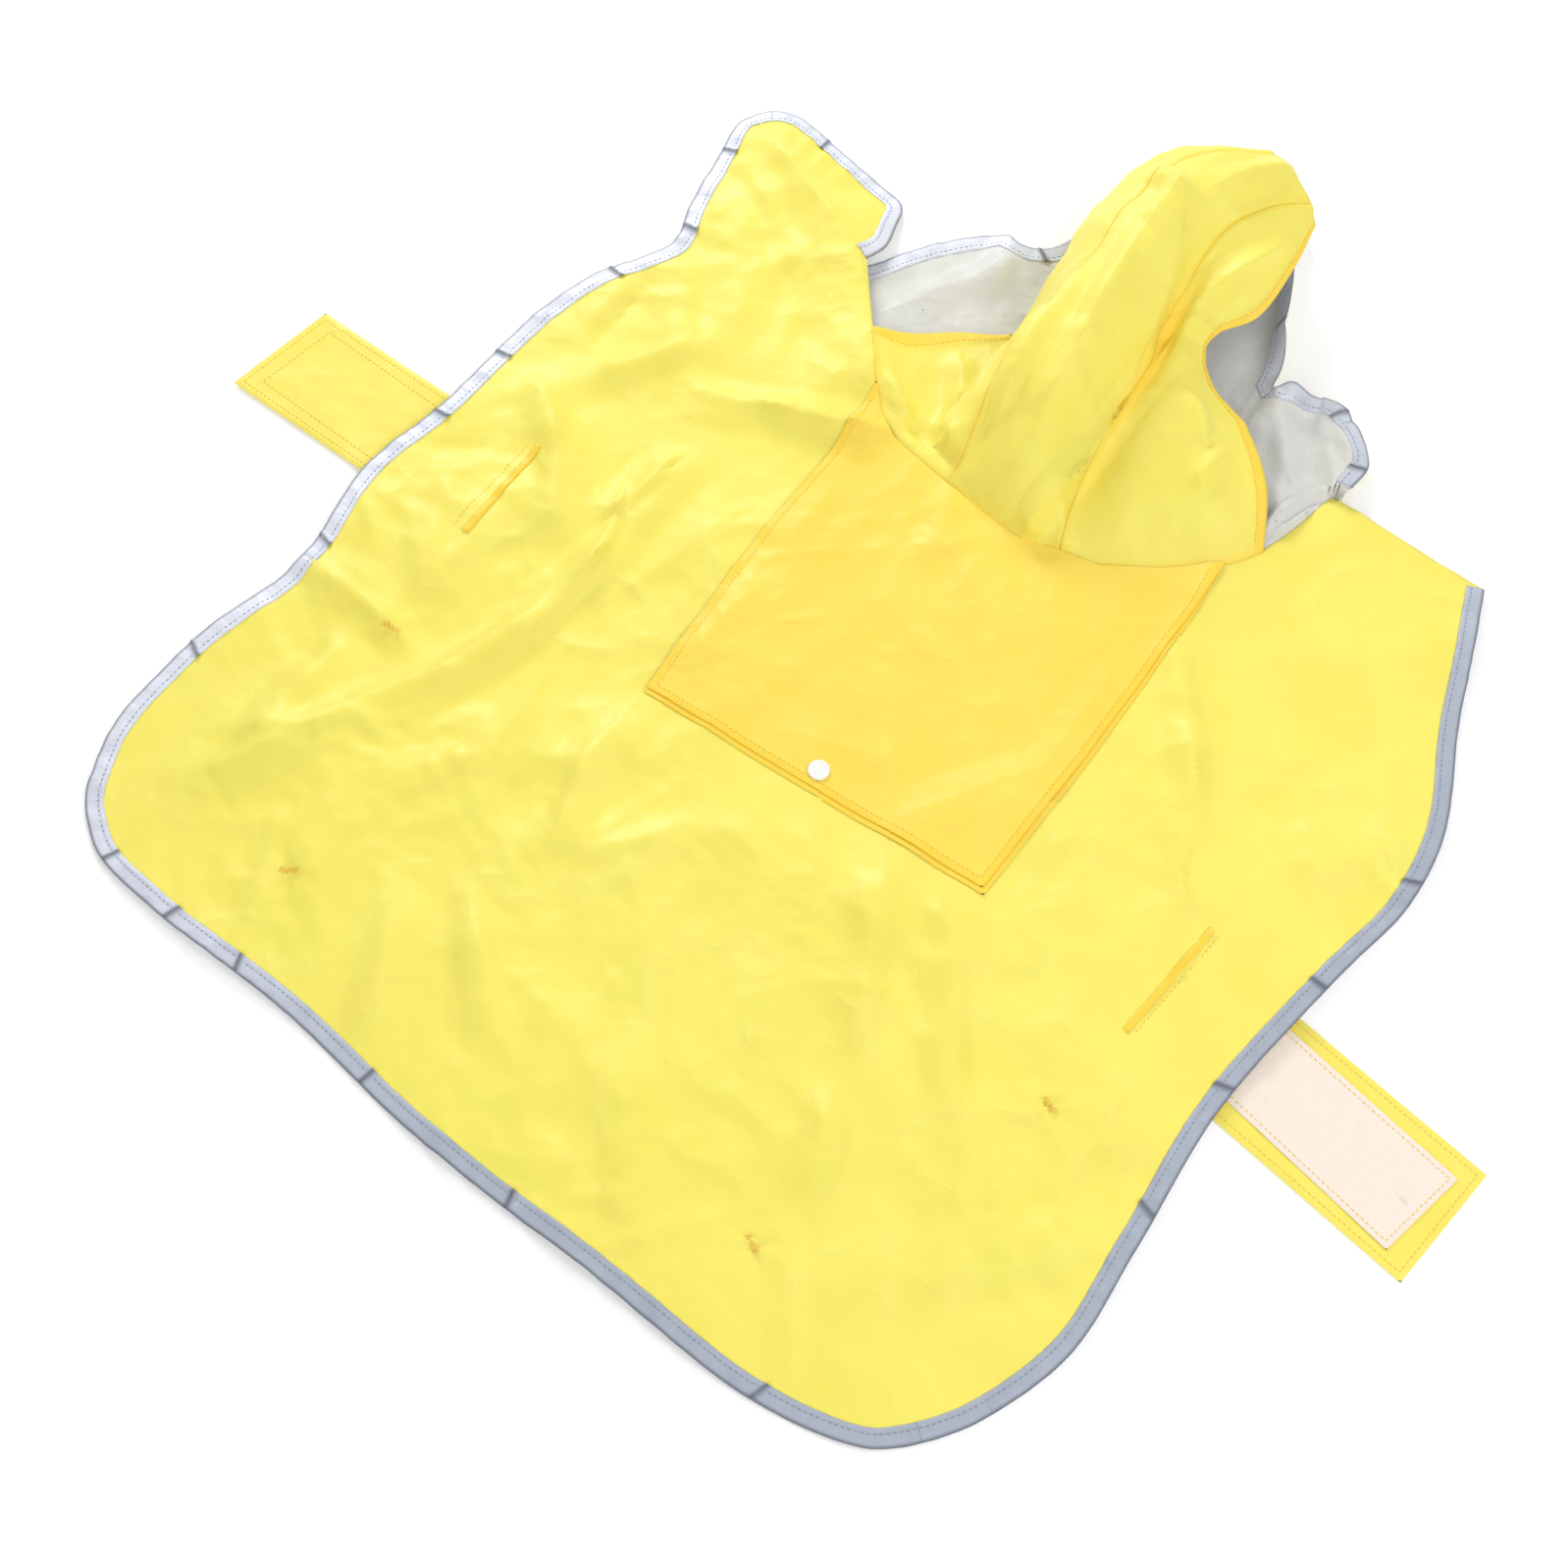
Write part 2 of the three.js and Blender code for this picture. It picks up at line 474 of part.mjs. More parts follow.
// Straps under the back panel, with hooks under one and loops on the other, and their tucks
add('strap_left', flatPiece(LEFT_STRAP, LEFT_STRAP_Z, STRAP), YELLOW);
add('hook_tape', flatPiece(LEFT_HOOKS, 0, HOOK_TAPE), TAPE_BEIGE);
add('strap_right', flatPiece(RIGHT_STRAP, 0, STRAP), YELLOW);
add('loop_tape', flatPiece(RIGHT_LOOPS, RIGHT_TAPE_Z, LOOP_TAPE), TAPE_BEIGE);
add('tuck_left', layer(back.geometry, LEFT_TUCK, CLOTH + SEAM), POUCH_YELLOW);
add('tuck_right', layer(back.geometry, RIGHT_TUCK, CLOTH + SEAM), POUCH_YELLOW);

// Hood: one surface from the sections, cut at its two seams
function spline(points, share) {
  const place = Math.min(share, NEARLY_ONE) * (points.length - 1);
  const i = Math.floor(place);
  const t = place - i;
  const pick = (k) => {
    if (k < 0) return points[0].map((value, axis) => 2 * value - points[1][axis]);
    if (k < points.length) return points[k];
    const last = points.length - 1;
    return points[last].map((value, axis) => 2 * value - points[last - 1][axis]);
  };
  const [a, b, c, d] = [pick(i - 1), pick(i), pick(i + 1), pick(i + 2)];
  return b.map((value, axis) => 0.5 * (2 * value + (c[axis] - a[axis]) * t
    + (2 * a[axis] - 5 * value + 4 * c[axis] - d[axis]) * t * t
    + (3 * value - a[axis] - 3 * c[axis] + d[axis]) * t * t * t));
}

const middle = (a, b, rise) => [(a[0] + b[0]) / 2, (a[1] + b[1]) / 2, (a[2] + b[2]) / 2 + rise];
const guides = HOOD_SECTIONS.map(({ hemL, sideL, seamL, rise, seamR, bulge, hemR }) => [
  hemL, sideL, seamL, middle(seamL, seamR, rise), seamR, middle(seamR, hemR, bulge), hemR]);

// The neck end of the hood, just outside the neck of the back panel
const neckPath = new THREE.CatmullRomCurve3([...NECK, HOOD_CORNER].map(({ x, y }) => (
  new THREE.Vector3(x, y, 0))), false, 'centripetal');
function seatAt(u) {
  const place = Math.min(u, NEARLY_ONE) * (NECK_SHARES.length - 1);
  const i = Math.floor(place);
  const share = NECK_SHARES[i] + (place - i) * (NECK_SHARES[i + 1] - NECK_SHARES[i]);
  const { x, y } = neckPath.getPointAt(share);
  const { x: tx, y: ty } = neckPath.getTangentAt(share);
  return [x + HOOD_SEAT * ty, y - HOOD_SEAT * tx, backHeight(x, y) + HOOD_SEAT];
}

const hoodColumns = 3 * HOOD_COLUMNS;
const surfaceAt = (u, v) => spline([seatAt(u), ...guides.map((section) => spline(section, u))], v);
const hoodGrid = [];
for (let j = 0; j <= HOOD_ROWS; j += 1) {
  const row = [];
  for (let i = 0; i <= hoodColumns; i += 1) row.push(surfaceAt(i / hoodColumns, j / HOOD_ROWS));
  hoodGrid.push(row);
}

// The wall's thickness at a grid point: square to the surface, and upright at the neck
function hoodWall(i, j) {
  const pick = (a, b) => new THREE.Vector3(...hoodGrid[Math.min(Math.max(b, 0), HOOD_ROWS)][
    Math.min(Math.max(a, 0), hoodColumns)]);
  const acrossWay = pick(i + 1, j).sub(pick(i - 1, j));
  const upWay = pick(i, j + 1).sub(pick(i, j - 1));
  return j === 0 ? [0, 0, CLOTH] : acrossWay.cross(upWay).setLength(CLOTH).toArray();
}

function hoodPanel(from, to) {
  const width = to - from + 1;
  const points = [];
  const walls = [];
  for (let j = 0; j <= HOOD_ROWS; j += 1) {
    for (let i = from; i <= to; i += 1) {
      const isSeam = (i === from && from > 0) || (i === to && to < hoodColumns);
      const next = i === from ? i + 1 : i - 1;
      const here = hoodGrid[j][i];
      const step = hoodGrid[j][next].map((value, axis) => value - here[axis]);
      const share = isSeam ? SEAM / 2 / Math.hypot(...step) : 0;
      points.push(here.map((value, axis) => value + share * step[axis]));
      walls.push(hoodWall(i, j));
    }
  }
  const index = (i, j) => j * width + i;
  const cells = [];
  for (let j = 0; j < HOOD_ROWS; j += 1) {
    for (let i = 0; i < width - 1; i += 1) {
      cells.push([index(i, j), index(i + 1, j), index(i + 1, j + 1), index(i, j + 1)]);
    }
  }
  const rim = [];
  for (let i = 0; i < width - 1; i += 1) rim.push(index(i, 0));
  for (let j = 0; j < HOOD_ROWS; j += 1) rim.push(index(width - 1, j));
  for (let i = width - 1; i > 0; i -= 1) rim.push(index(i, HOOD_ROWS));
  for (let j = HOOD_ROWS; j > 0; j -= 1) rim.push(index(0, j));
  return wallOver(points, cells, rim, (i) => walls[i]);
}

add('hood_left', hoodPanel(0, HOOD_COLUMNS), YELLOW);
add('hood_middle', hoodPanel(HOOD_COLUMNS, 2 * HOOD_COLUMNS), YELLOW);
add('hood_right', hoodPanel(2 * HOOD_COLUMNS, hoodColumns), YELLOW);

export default raincoat;
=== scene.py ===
"""A dog raincoat with a hood, laid out flat with its outer side up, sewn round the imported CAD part."""

import bpy
import numpy as np
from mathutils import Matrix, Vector


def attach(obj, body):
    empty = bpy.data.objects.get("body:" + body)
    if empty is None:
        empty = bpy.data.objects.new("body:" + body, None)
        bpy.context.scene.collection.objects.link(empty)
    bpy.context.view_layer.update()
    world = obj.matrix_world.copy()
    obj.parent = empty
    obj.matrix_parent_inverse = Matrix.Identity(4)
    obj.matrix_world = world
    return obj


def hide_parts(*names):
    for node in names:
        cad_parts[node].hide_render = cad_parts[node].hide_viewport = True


bl_info = {
    "name": "Dog raincoat",
    "version": (1, 0, 0),
    "blender": (4, 5, 0),
    "location": "3D View > Sidebar > Raincoat",
    "description": "Cloth, hood, pouch, straps, binding and stitching of a raincoat laid out flat",
    "category": "Object",
}

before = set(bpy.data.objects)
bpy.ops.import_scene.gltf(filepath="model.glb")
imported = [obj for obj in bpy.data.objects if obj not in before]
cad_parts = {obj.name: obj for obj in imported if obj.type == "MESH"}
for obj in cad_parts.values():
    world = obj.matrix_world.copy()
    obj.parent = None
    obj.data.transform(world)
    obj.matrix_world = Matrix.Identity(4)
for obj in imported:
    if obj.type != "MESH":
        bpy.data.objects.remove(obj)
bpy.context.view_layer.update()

# Tables are in millimetres, as in the part, and become metres here
MM = 0.001
WALL = 1.2 * MM                    # wall of the CAD cloth, whose outer face is the outer side of the coat
FINE = 0.35 * MM                   # real coated cloth with its seam slack
BIND_REACH = 0.9 * MM              # from the outside of the binding to the cloth in it
POUCH_STEP = 0.95 * MM             # from one layer of the pouch to the next
LEFT_STRAP_TOP = 2.5 * MM
RIGHT_STRAP_TOP = 1.5 * MM
LOOP_TOP = 2.6 * MM
HOOK_TOP = 1.0 * MM
OVER_CHEST = 1.5                   # rise of the back over the chest panel, in millimetres
OVER_STRAP = 3.1                   # rise of the back over a strap, in millimetres
RISE_LEVEL = 20 * MM               # how far a rise stays level beyond its area
EDGE_STEP = 1.0 * MM               # between two points of an edge
FOLD_SHARE = 0.6                   # of the height of the part's folds, the rest being creases here
CREASE_RISE = 2.7                  # times the height of a crease in its table
CREASE_SPREAD = 1.6                # times its reach to each side
CREASE_TIP = 0.7 * MM              # half width of its rounded crest
BACK_CRUMPLE = 7.5 * MM
CHEST_CRUMPLE = 3 * MM
HOOD_CRUMPLE = 4 * MM
POUCH_CRUMPLE = 0.9 * MM
CRUMPLE_SIZES = (78, 38, 19)       # of its large, middle and small facets
LEAST_TOP = 0.8 * MM               # height that the back's outer face never goes below
UNDER_BACK = 1.3 * MM              # from the back's outer face to the chest cloth below it
GRID_ROUNDS = 100                  # of moving the back's points to the mean of their neighbours
CURL_REACH = 13 * MM               # of a hem that turns up
HEM_INSET = 6 * MM                 # from a hem of the hood to its stitches
STITCH = 2.1 * MM                  # length of a stitch
STITCH_GAP = 1.0 * MM
STITCH_LIFT = 0.1 * MM
UPWARD = np.array([0.0, 0.0, 1.0])
SNAP_PLACE = (7.4 * MM, 52 * MM)
LOZENGE = 3.2 * MM                 # length of two lozenges of the embossing
RIB = 0.9 * MM                     # from one rib of the binding's weave to the next
TWIST = 0.5 * MM                   # from one turn of the thread to the next
BAR_LENGTH = 10 * MM               # of a thread bar, sewn to and fro
BAR_WIDTH = 3.6 * MM
BAR_STITCH = 3.9 * MM              # length of one of its stitches
BAR_THREAD = 0.42 * MM             # half thickness of one of its stitches
BAR_STITCHES = 9
BAR_LIFT = 1.2 * MM                # from the cloth up to its stitches
TUCK_LIFT = 1.4 * MM               # from the back up to the top of a tuck
TUCK_THICKNESS = 1.3 * MM
HOOK_THICKNESS = 0.6 * MM
LOOP_THICKNESS = 1.0 * MM
POUCH_THICKNESS = 2.2 * FINE       # of each layer of the pouch
POUCH_INSET = 4 * MM               # from the edges of the pouch to its stitches
FACING_TOP_HEIGHT = 0.6 * MM
FLOOR_HALF = 4.0                   # half of the floor's side
FLOOR_TOP = -0.1 * MM

# The photograph's camera: where it stands, what it looks at, its lens and its sensor's width
CAMERA_PLACE = (380.97 * MM, -438.59 * MM, 1147.8 * MM)
CAMERA_TARGET = (-3.11 * MM, 35.71 * MM, 0)
CAMERA_LENS = 56.32
CAMERA_SENSOR = 36

# Soft studio lights over an even sky. Columns: name, place, side, power
LIGHTS = [("key_light", (-1.4, 1.2, 0.9), 0.6, 20.0), ("side_light", (1.2, 0.5, 1.5), 1.0, 13.0),
          ("low_light", (0.7, -1.6, 1.2), 1.6, 12.0)]
SKY_STRENGTH = 0.55


def table(*rows):
    """Rows of millimetres as an array of metres."""
    return MM * np.array(rows, float)


TAIL = table((-284, -205), (-255, -222), (-208, -227), (-113, -225), (-19, -232), (95, -230),
             (189, -228), (246, -212), (265, -194))
RIGHT_SIDE = table((265, -194), (279, -170), (294, -118), (289, -57), (280, 28), (287, 123), (293, 184),
                   (284, 232), (257, 288), (241, 326), (222, 372))
RIGHT_FOLD = table((222, 372), (172, 371), (123, 370))
NECK_RIGHT = table((123, 370), (119, 345), (112, 317))
NECK = table((112, 317), (103, 300), (76, 272), (47, 252), (0, 238), (-49, 241), (-94, 247), (-111, 256),
             (-125, 271))
FLAP_FOLD = table((-125, 271), (-151, 300), (-183, 336))
FLAP_SIDE = table((-183, 336), (-181, 352), (-189, 375), (-194, 389))
FLAP_TOP = table((-194, 389), (-236, 395), (-288, 402), (-304, 395))
LEFT_SIDE = table((-304, 395), (-313, 376), (-307, 350), (-295, 307), (-284, 274), (-304, 232),
                  (-312, 189), (-309, 104), (-314, 45), (-301, -21), (-309, -104), (-304, -165),
                  (-284, -205))
CHEST_NECK = table((-141, 264), (-100, 258), (-49, 249), (0, 246), (40, 259), (66, 275), (92, 294),
                   (114, 314))
CHEST_END = table((114, 314), (121, 340), (126, 362), (130, 377))
CHEST_TAB = table((130, 377), (129, 397), (112, 414), (91, 424), (75, 420), (57, 406))
CHEST_HEM = table((57, 406), (53, 425), (42, 456), (20, 497), (0, 529), (-28, 534), (-62, 512),
                  (-85, 478), (-97, 439), (-106, 417), (-120, 406), (-134, 406), (-150, 392), (-170, 365),
                  (-181, 343), (-193, 326))
CHEST_FOLD = table((-193, 326), (-168, 294), (-141, 264))

# The four sides of each panel, anticlockwise. Columns: curve, share of the side's cells, bound or not
BACK_SIDES = [
    [(TAIL, 36, True)],
    [(RIGHT_SIDE, 28, True)],
    [(RIGHT_FOLD, 5, False), (NECK_RIGHT, 3, False), (NECK, 12, False), (FLAP_FOLD, 9, False),
     (FLAP_SIDE, 2, True), (FLAP_TOP, 5, True)],
    [(LEFT_SIDE, 28, True)],
]
CHEST_SIDES = [
    [(CHEST_NECK, 30, False)],
    [(CHEST_END, 6, False)],
    [(CHEST_TAB, 7, True), (CHEST_HEM, 23, True)],
    [(CHEST_FOLD, 6, False)],
]

# Where the back panel rides over what lies under it. Columns: x from, x to, y from, y to, height, fade
RISES = table((-420, -246, 38, 112, OVER_STRAP, 34), (222, 400, 16, 98, OVER_STRAP, 34),
              (124, 216, 288, 372, OVER_CHEST, 30), (-195, -122, 262, 345, 2 * OVER_CHEST, 30))

# Where the pouch holds the cloth flatter. Columns: as above, with a share in place of a height
POUCH_CALM = [(-75 * MM, 90 * MM, 60 * MM, 230 * MM, 0.5, 26 * MM)]

# Main folds, as in the part. Columns: x and y of one end, x and y of the other, height, half width
BACK_FOLDS = table(
    (-292, 380, -200, 342, 13, 42), (-205, 326, -130, 264, 8, 30), (-270, 300, -215, 262, 6, 26),
    (-110, 235, -208, 200, 6, 20), (-215, 235, -262, 165, 7, 24), (-272, 147, -198, 78, 7, 22),
    (-180, 155, -170, 66, 7, 22), (-168, 90, -180, -8, 6, 22), (-174, 22, -216, -82, 8, 24),
    (-296, -22, -212, -28, 6, 18), (-243, -56, -236, -128, 6, 22), (-206, -88, -242, -158, 6, 22),
    (-96, 12, -76, -70, 5, 20), (58, 44, 136, -82, 6, 22), (100, 40, 190, -62, 7, 24),
    (108, 240, 168, 168, 6, 22), (150, 190, 232, 110, 6, 22), (135, 352, 205, 308, 5, 26),
    (196, -158, 252, -80, 6, 28), (122, -84, 148, -134, 5, 20), (-80, -118, -26, -168, 6, 22),
    (-120, -142, -72, -206, 6, 22), (30, -140, 92, -196, 5, 24))
CHEST_FOLDS = table((136, 372, 104, 430, 9, 24), (70, 392, 24, 508, 9, 22), (62, 420, 66, 384, 5, 14),
                    (-128, 420, -120, 376, 5, 16), (-112, 420, -84, 470, 4, 18))

# Sharp creases. Columns: x and y of one end, x and y of the other, height, reach to the left and right
BACK_CREASES = table(
    (-118, 234, -161, 216, 1.6, 5, 12), (-158, 218, -204, 202, 1.4, 5, 10),
    (-225, 226, -256, 174, 1.5, 9, 4), (-276, 236, -274, 196, -1.6, 8, 5),
    (-272, 147, -243, 128, 1.4, 4, 10), (-246, 130, -203, 78, 1.5, 5, 10),
    (-181, 148, -184, 110, 1.8, 4, 12), (-184, 114, -169, 76, 1.8, 4, 12),
    (-170, 80, -166, 22, 1.5, 4, 10), (-178, 20, -190, -32, 1.5, 10, 5),
    (-188, -28, -212, -72, 1.6, 10, 5), (-292, -23, -222, -26, 1.7, 4, 9),
    (-294, -44, -248, -68, -1.4, 9, 9), (-241, -62, -238, -120, 1.5, 5, 11),
    (-238, -118, -210, -90, 1.2, 9, 4), (-215, -96, -239, -148, 1.5, 4, 12),
    (-95, 4, -79, -60, 1.1, 12, 5), (20, 36, 66, -32, 1.0, 5, 12),
    (64, 40, 132, -72, 1.3, 5, 12), (102, 36, 182, -54, 1.4, 5, 12),
    (112, 234, 164, 177, 1.5, 5, 10), (162, 180, 191, 127, 1.3, 5, 10),
    (162, 152, 203, 111, 1.3, 4, 9), (200, 114, 223, 78, 1.1, 4, 8),
    (129, -90, 142, -127, 1.2, 4, 9), (139, -92, 154, -122, 1.0, 4, 8),
    (-69, -129, -34, -159, 1.4, 5, 10), (-113, -151, -78, -198, 1.4, 5, 11),
    (34, -138, 92, -192, 1.0, 6, 12), (-150, -60, -60, -100, 0.8, 8, 14),
    (-40, -30, 20, -110, 0.8, 8, 14), (190, -60, 236, -140, 1.1, 6, 11),
    (228, -20, 262, -96, 1.0, 6, 10), (216, 200, 262, 140, 1.1, 8, 5),
    (236, 250, 268, 196, 0.9, 8, 5), (180, 300, 226, 246, 0.9, 6, 10),
    (-268, 60, -232, -4, 1.1, 6, 10), (-130, 150, -150, 60, 0.9, 8, 12),
    (-140, -10, -124, -96, 0.8, 8, 12), (0, -150, 20, -206, 0.9, 6, 10),
    (150, -150, 196, -206, 1.0, 6, 10), (-190, -150, -160, -210, 1.0, 6, 10),
    (-292, 376, -184, 333, 1.6, 5, 14), (-184, 333, -121, 271, 1.3, 5, 11),
    (-284, 372, -200, 350, 1.0, 4, 8), (-298, 352, -210, 312, 1.0, 7, 10),
    (-290, 330, -214, 286, 0.9, 7, 10), (-270, 392, -262, 362, 0.9, 4, 4),
    (-254, 390, -250, 366, 0.8, 4, 4), (-284, 388, -272, 364, 0.8, 4, 4),
    (-236, 388, -238, 370, 0.7, 4, 4), (-262, 268, -230, 212, 1.0, 7, 10))
CHEST_CREASES = table(
    (-150, 330, -110, 402, 1.4, 8, 12), (-80, 380, -70, 500, 1.2, 8, 12), (96, 366, 60, 404, 1.6, 4, 9),
    (118, 376, 84, 420, 1.6, 5, 9), (106, 340, 74, 398, 1.4, 5, 9), (122, 394, 100, 408, 1.4, 4, 6),
    (60, 330, 44, 440, 1.1, 8, 12), (30, 470, 4, 520, 1.2, 6, 10), (106, 325, 109, 364, 2.4, 2, 4),
    (109, 364, 128, 376, 2.4, 2, 4), (112, 327, 120, 359, 2.0, 2, 3), (102, 322, 104, 350, 1.6, 2, 3))
HOOD_CREASES = table(
    (-57, 342, -47, 275, 2.6, 6, 10), (-58, 381, -43, 288, 2.6, 6, 10), (-47, 449, -46, 420, 2.4, 8, 5),
    (-46, 420, -33, 335, 2.4, 8, 6), (-33, 335, -26, 295, 2.0, 8, 8), (-33, 429, -8, 360, 2.4, 6, 10),
    (-1, 375, -1, 329, 3.6, 10, 5), (-1, 329, 0, 282, 3.6, 10, 5), (0, 282, 2, 244, 2.6, 8, 5),
    (-65, 458, -47, 449, 2.0, 6, 6), (-33, 470, -14, 513, 2.0, 6, 8), (-5, 407, 11, 457, 2.6, 8, 6),
    (-4, 395, 13, 407, 1.8, 5, 6), (14, 475, 0, 426, 1.8, 5, 5), (32, 357, 48, 345, 2.4, 5, 8),
    (62, 342, 61, 321, 1.8, 5, 5), (-94, 312, -77, 292, 1.8, 6, 8), (-77, 292, -71, 265, 2.0, 6, 6),
    (-94, 261, -54, 249, -2.0, 6, 6), (-68, 299, -63, 260, 2.0, 5, 6), (-121, 273, -94, 261, 1.6, 5, 5),
    (10, 263, 26, 246, 1.6, 5, 5))
POUCH_CREASES = table(
    (-90, 118, -94, 60, 0.9, 8, 8), (-117, 238, -99, 246, 1.2, 4, 6), (60, 60, 100, 130, 0.8, 10, 12),
    (-60, 230, 30, 180, 0.6, 12, 14), (20, 250, 60, 190, 0.7, 10, 12), (104, 90, 92, 200, 0.9, 8, 10),
    (-12, 228, -34, 190, 0.5, 5, 6), (-100, 200, -96, 150, 0.6, 8, 8), (-20, 60, 40, 84, 0.6, 9, 10))

# Thread bars that hold gathered cloth. Columns: x, y, and x and y of the bar's direction
BARS = [(-227.5, -27, 0.97, 0.24), (-168.6, -167, 0.86, 0.5), (213.7, -24.5, 0.93, -0.37),
        (143.8, -169.7, 0.93, -0.37)]
SNAP_MARK = (-6.8, -27.3)          # where the snap below presses the cloth up

# Places on the edge where the binding is pinched, each with painted shade in its fold: x, y
BACK_PINCHES = table((288, 112), (281, 40), (289, -38), (294, 195), (-250, -223), (-200, -227),
                     (-150, -226), (190, -228), (-309, 150), (-312, 96), (-306, -6), (-303, 240),
                     (-290, 290), (-309, 352), (-262, 400), (-308, -100), (40, -231), (-60, -229))
# Hems that turn up. Columns: x and y of the start, x and y of the end, degrees
CHEST_CURLS = [(55, 416, -10, 534, 64), (60, 408, 104, 419, 48)]
CHEST_PINCHES = table((-98, 436), (-112, 412), (100, 420), (126, 392), (46, 450))

POUCH_BOTTOM = table((-97, 34), (116, 51))
POUCH_RIGHT = table((116, 51), (112, 150), (105, 260), (101, 296))
POUCH_TOP = table((-122, 267), (-110, 255.4), (-94, 246.4), (-49, 240.4), (0, 237.4), (47, 251.4),
                  (76, 271.4), (101, 296))
POUCH_LEFT = table((-97, 34), (-112, 150), (-117, 233), (-122, 267))
LOWER_BOTTOM = table((-97, 31), (119, 48))
LOWER_RIGHT = table((119, 48), (115, 150), (107, 260), (101, 296))
LOWER_LEFT = table((-97, 31), (-112, 150), (-117, 233), (-122, 267))

# Four-cornered pieces, anticlockwise from the lower left corner
LEFT_STRAP = table((-416, 39), (-248, 42), (-254, 112), (-410, 109))
LEFT_HOOKS = table((-402, 51), (-302, 51), (-302, 99), (-397, 99))
RIGHT_STRAP = table((218, 29), (396, 11), (400, 83), (224, 101))
RIGHT_LOOPS = table((264, 37), (382, 20), (390, 72), (268, 88))
LEFT_TUCK = table((-240, 43), (-236, 44), (-243, 114), (-247, 113))
RIGHT_TUCK = table((218, 32), (221.5, 32), (224, 104), (220.5, 104))
FACING_BOTTOM = table((140, 292), (192, 290))
FACING_RIGHT = table((192, 290), (214, 330), (214, 369))
FACING_TOP = table((127, 368), (214, 369))
FACING_LEFT = table((140, 292), (127, 368))

# Guides of the hood from just above the neck seam to the peak. Columns: left hem, lowest point of the
# left side, left seam, rise of the middle strip, right seam, bulge of the right side, right hem
HOOD_SECTIONS = [
    [(-134, 310, 3), (-78, 262, 4), (-54, 273, 24), 17, (16, 264, 10), 8, (92, 346, 11)],
    [(-111, 330, 3), (-74, 304, 7), (-56, 308, 40), 22, (0, 323, 20), 9, (61, 370, 15)],
    [(-82, 348, 5), (-80, 352, 10), (-59, 352, 50), 21, (-3, 365, 32), 4, (31, 378, 20)],
    [(-62, 388, 8), (-85, 397, 19), (-61, 387, 56), 16, (-10, 404, 44), 2, (12, 401, 26)],
    [(-50, 435, 14), (-87, 442, 31), (-65, 427, 58), 11, (-16, 449, 52), 2, (27, 429, 30)],
    [(-38, 486, 24), (-71, 488, 44), (-57, 480, 58), 7, (-6, 482, 52), 1, (26, 463, 36)],
    [(-18, 514, 38), (-30, 521, 44), (-25, 520, 49), 3, (9, 507, 45), 0, (18, 498, 39)],
]
HOOD_CORNER = table((-148, 297))
NECK_SHARES = (1, 0.845, 0.62, 0.5, 0.375, 0.17, 0)
HOOD_SEAT = -1.2 * MM              # from the neck of the back to the hood's foot, onto the back
HOOD_LIFT = -1.1 * MM              # from the back's outer face to the hood's foot
VALLEY_DEPTH = 7.5 * MM            # of the valley beside the hood's right seam
VALLEY_HALF = 11 * MM              # half of its width
VALLEY_PLACE = (0.69, 0.42)        # shares across the hood and up it at its middle
VALLEY_REACH = 0.34                # share of the way up the hood from its middle to its ends
HEM_STEP = 0.5 * MM
SEAM_GROOVE = 0.9 * MM
HOOD_ROWS = 150
HOOD_COLUMNS = 56                  # of each of its three panels


def half_wave(share):
    """1 at 0, falling by half a cosine wave to 0 at 1 and beyond."""
    return 0.5 + 0.5 * np.cos(np.pi * np.clip(share, 0, 1))


def off_line(x, y, x1, y1, x2, y2):
    """How far places lie to the right of a line, how far from its middle along it, and half its length."""
    length = np.hypot(x2 - x1, y2 - y1)
    run = ((x - x1) * (x2 - x1) + (y - y1) * (y2 - y1)) / length
    off = ((x - x1) * (y2 - y1) - (y - y1) * (x2 - x1)) / length
    return off, np.abs(run - length / 2), length / 2


def fold_heights(x, y, rows):
    """Sum of folds: a half wave across each one, fading by a half wave of the squared run to both ends."""
    total = np.zeros_like(x)
    for *ends, height, half in rows:
        off, run, middle = off_line(x, y, *ends)
        total += height * half_wave(np.abs(off) / half) * half_wave((run / (middle + half)) ** 2)
    return total


def crease_heights(x, y, rows):
    """Sum of creases: a nearly pointed crest that falls off straight at its own rate on each side, so
    that a facet lies along it, fading by a half wave of the squared run toward both ends."""
    total = np.zeros_like(x)
    for *ends, height, left, right in rows:
        off, run, middle = off_line(x, y, *ends)
        reach = CREASE_SPREAD * np.where(off > 0, right, left)
        fall = (np.sqrt(off**2 + CREASE_TIP**2) - CREASE_TIP) / reach
        crest = CREASE_RISE * height * np.clip(1 - fall, 0, 1) ** 1.15
        total += crest * half_wave((run / (middle + reach)) ** 2)
    return total


def rise_heights(x, y, rows):
    """The largest of some rises: each level over its area and a little beyond, then a half wave down."""
    top = np.zeros_like(x)
    for x1, x2, y1, y2, height, fade in rows:
        beside = np.maximum(np.maximum(x1 - x, x - x2), 0)
        above = np.maximum(np.maximum(y1 - y, y - y2), 0)
        top = np.maximum(top, height * half_wave((np.hypot(beside, above) - RISE_LEVEL) / fade))
    return top


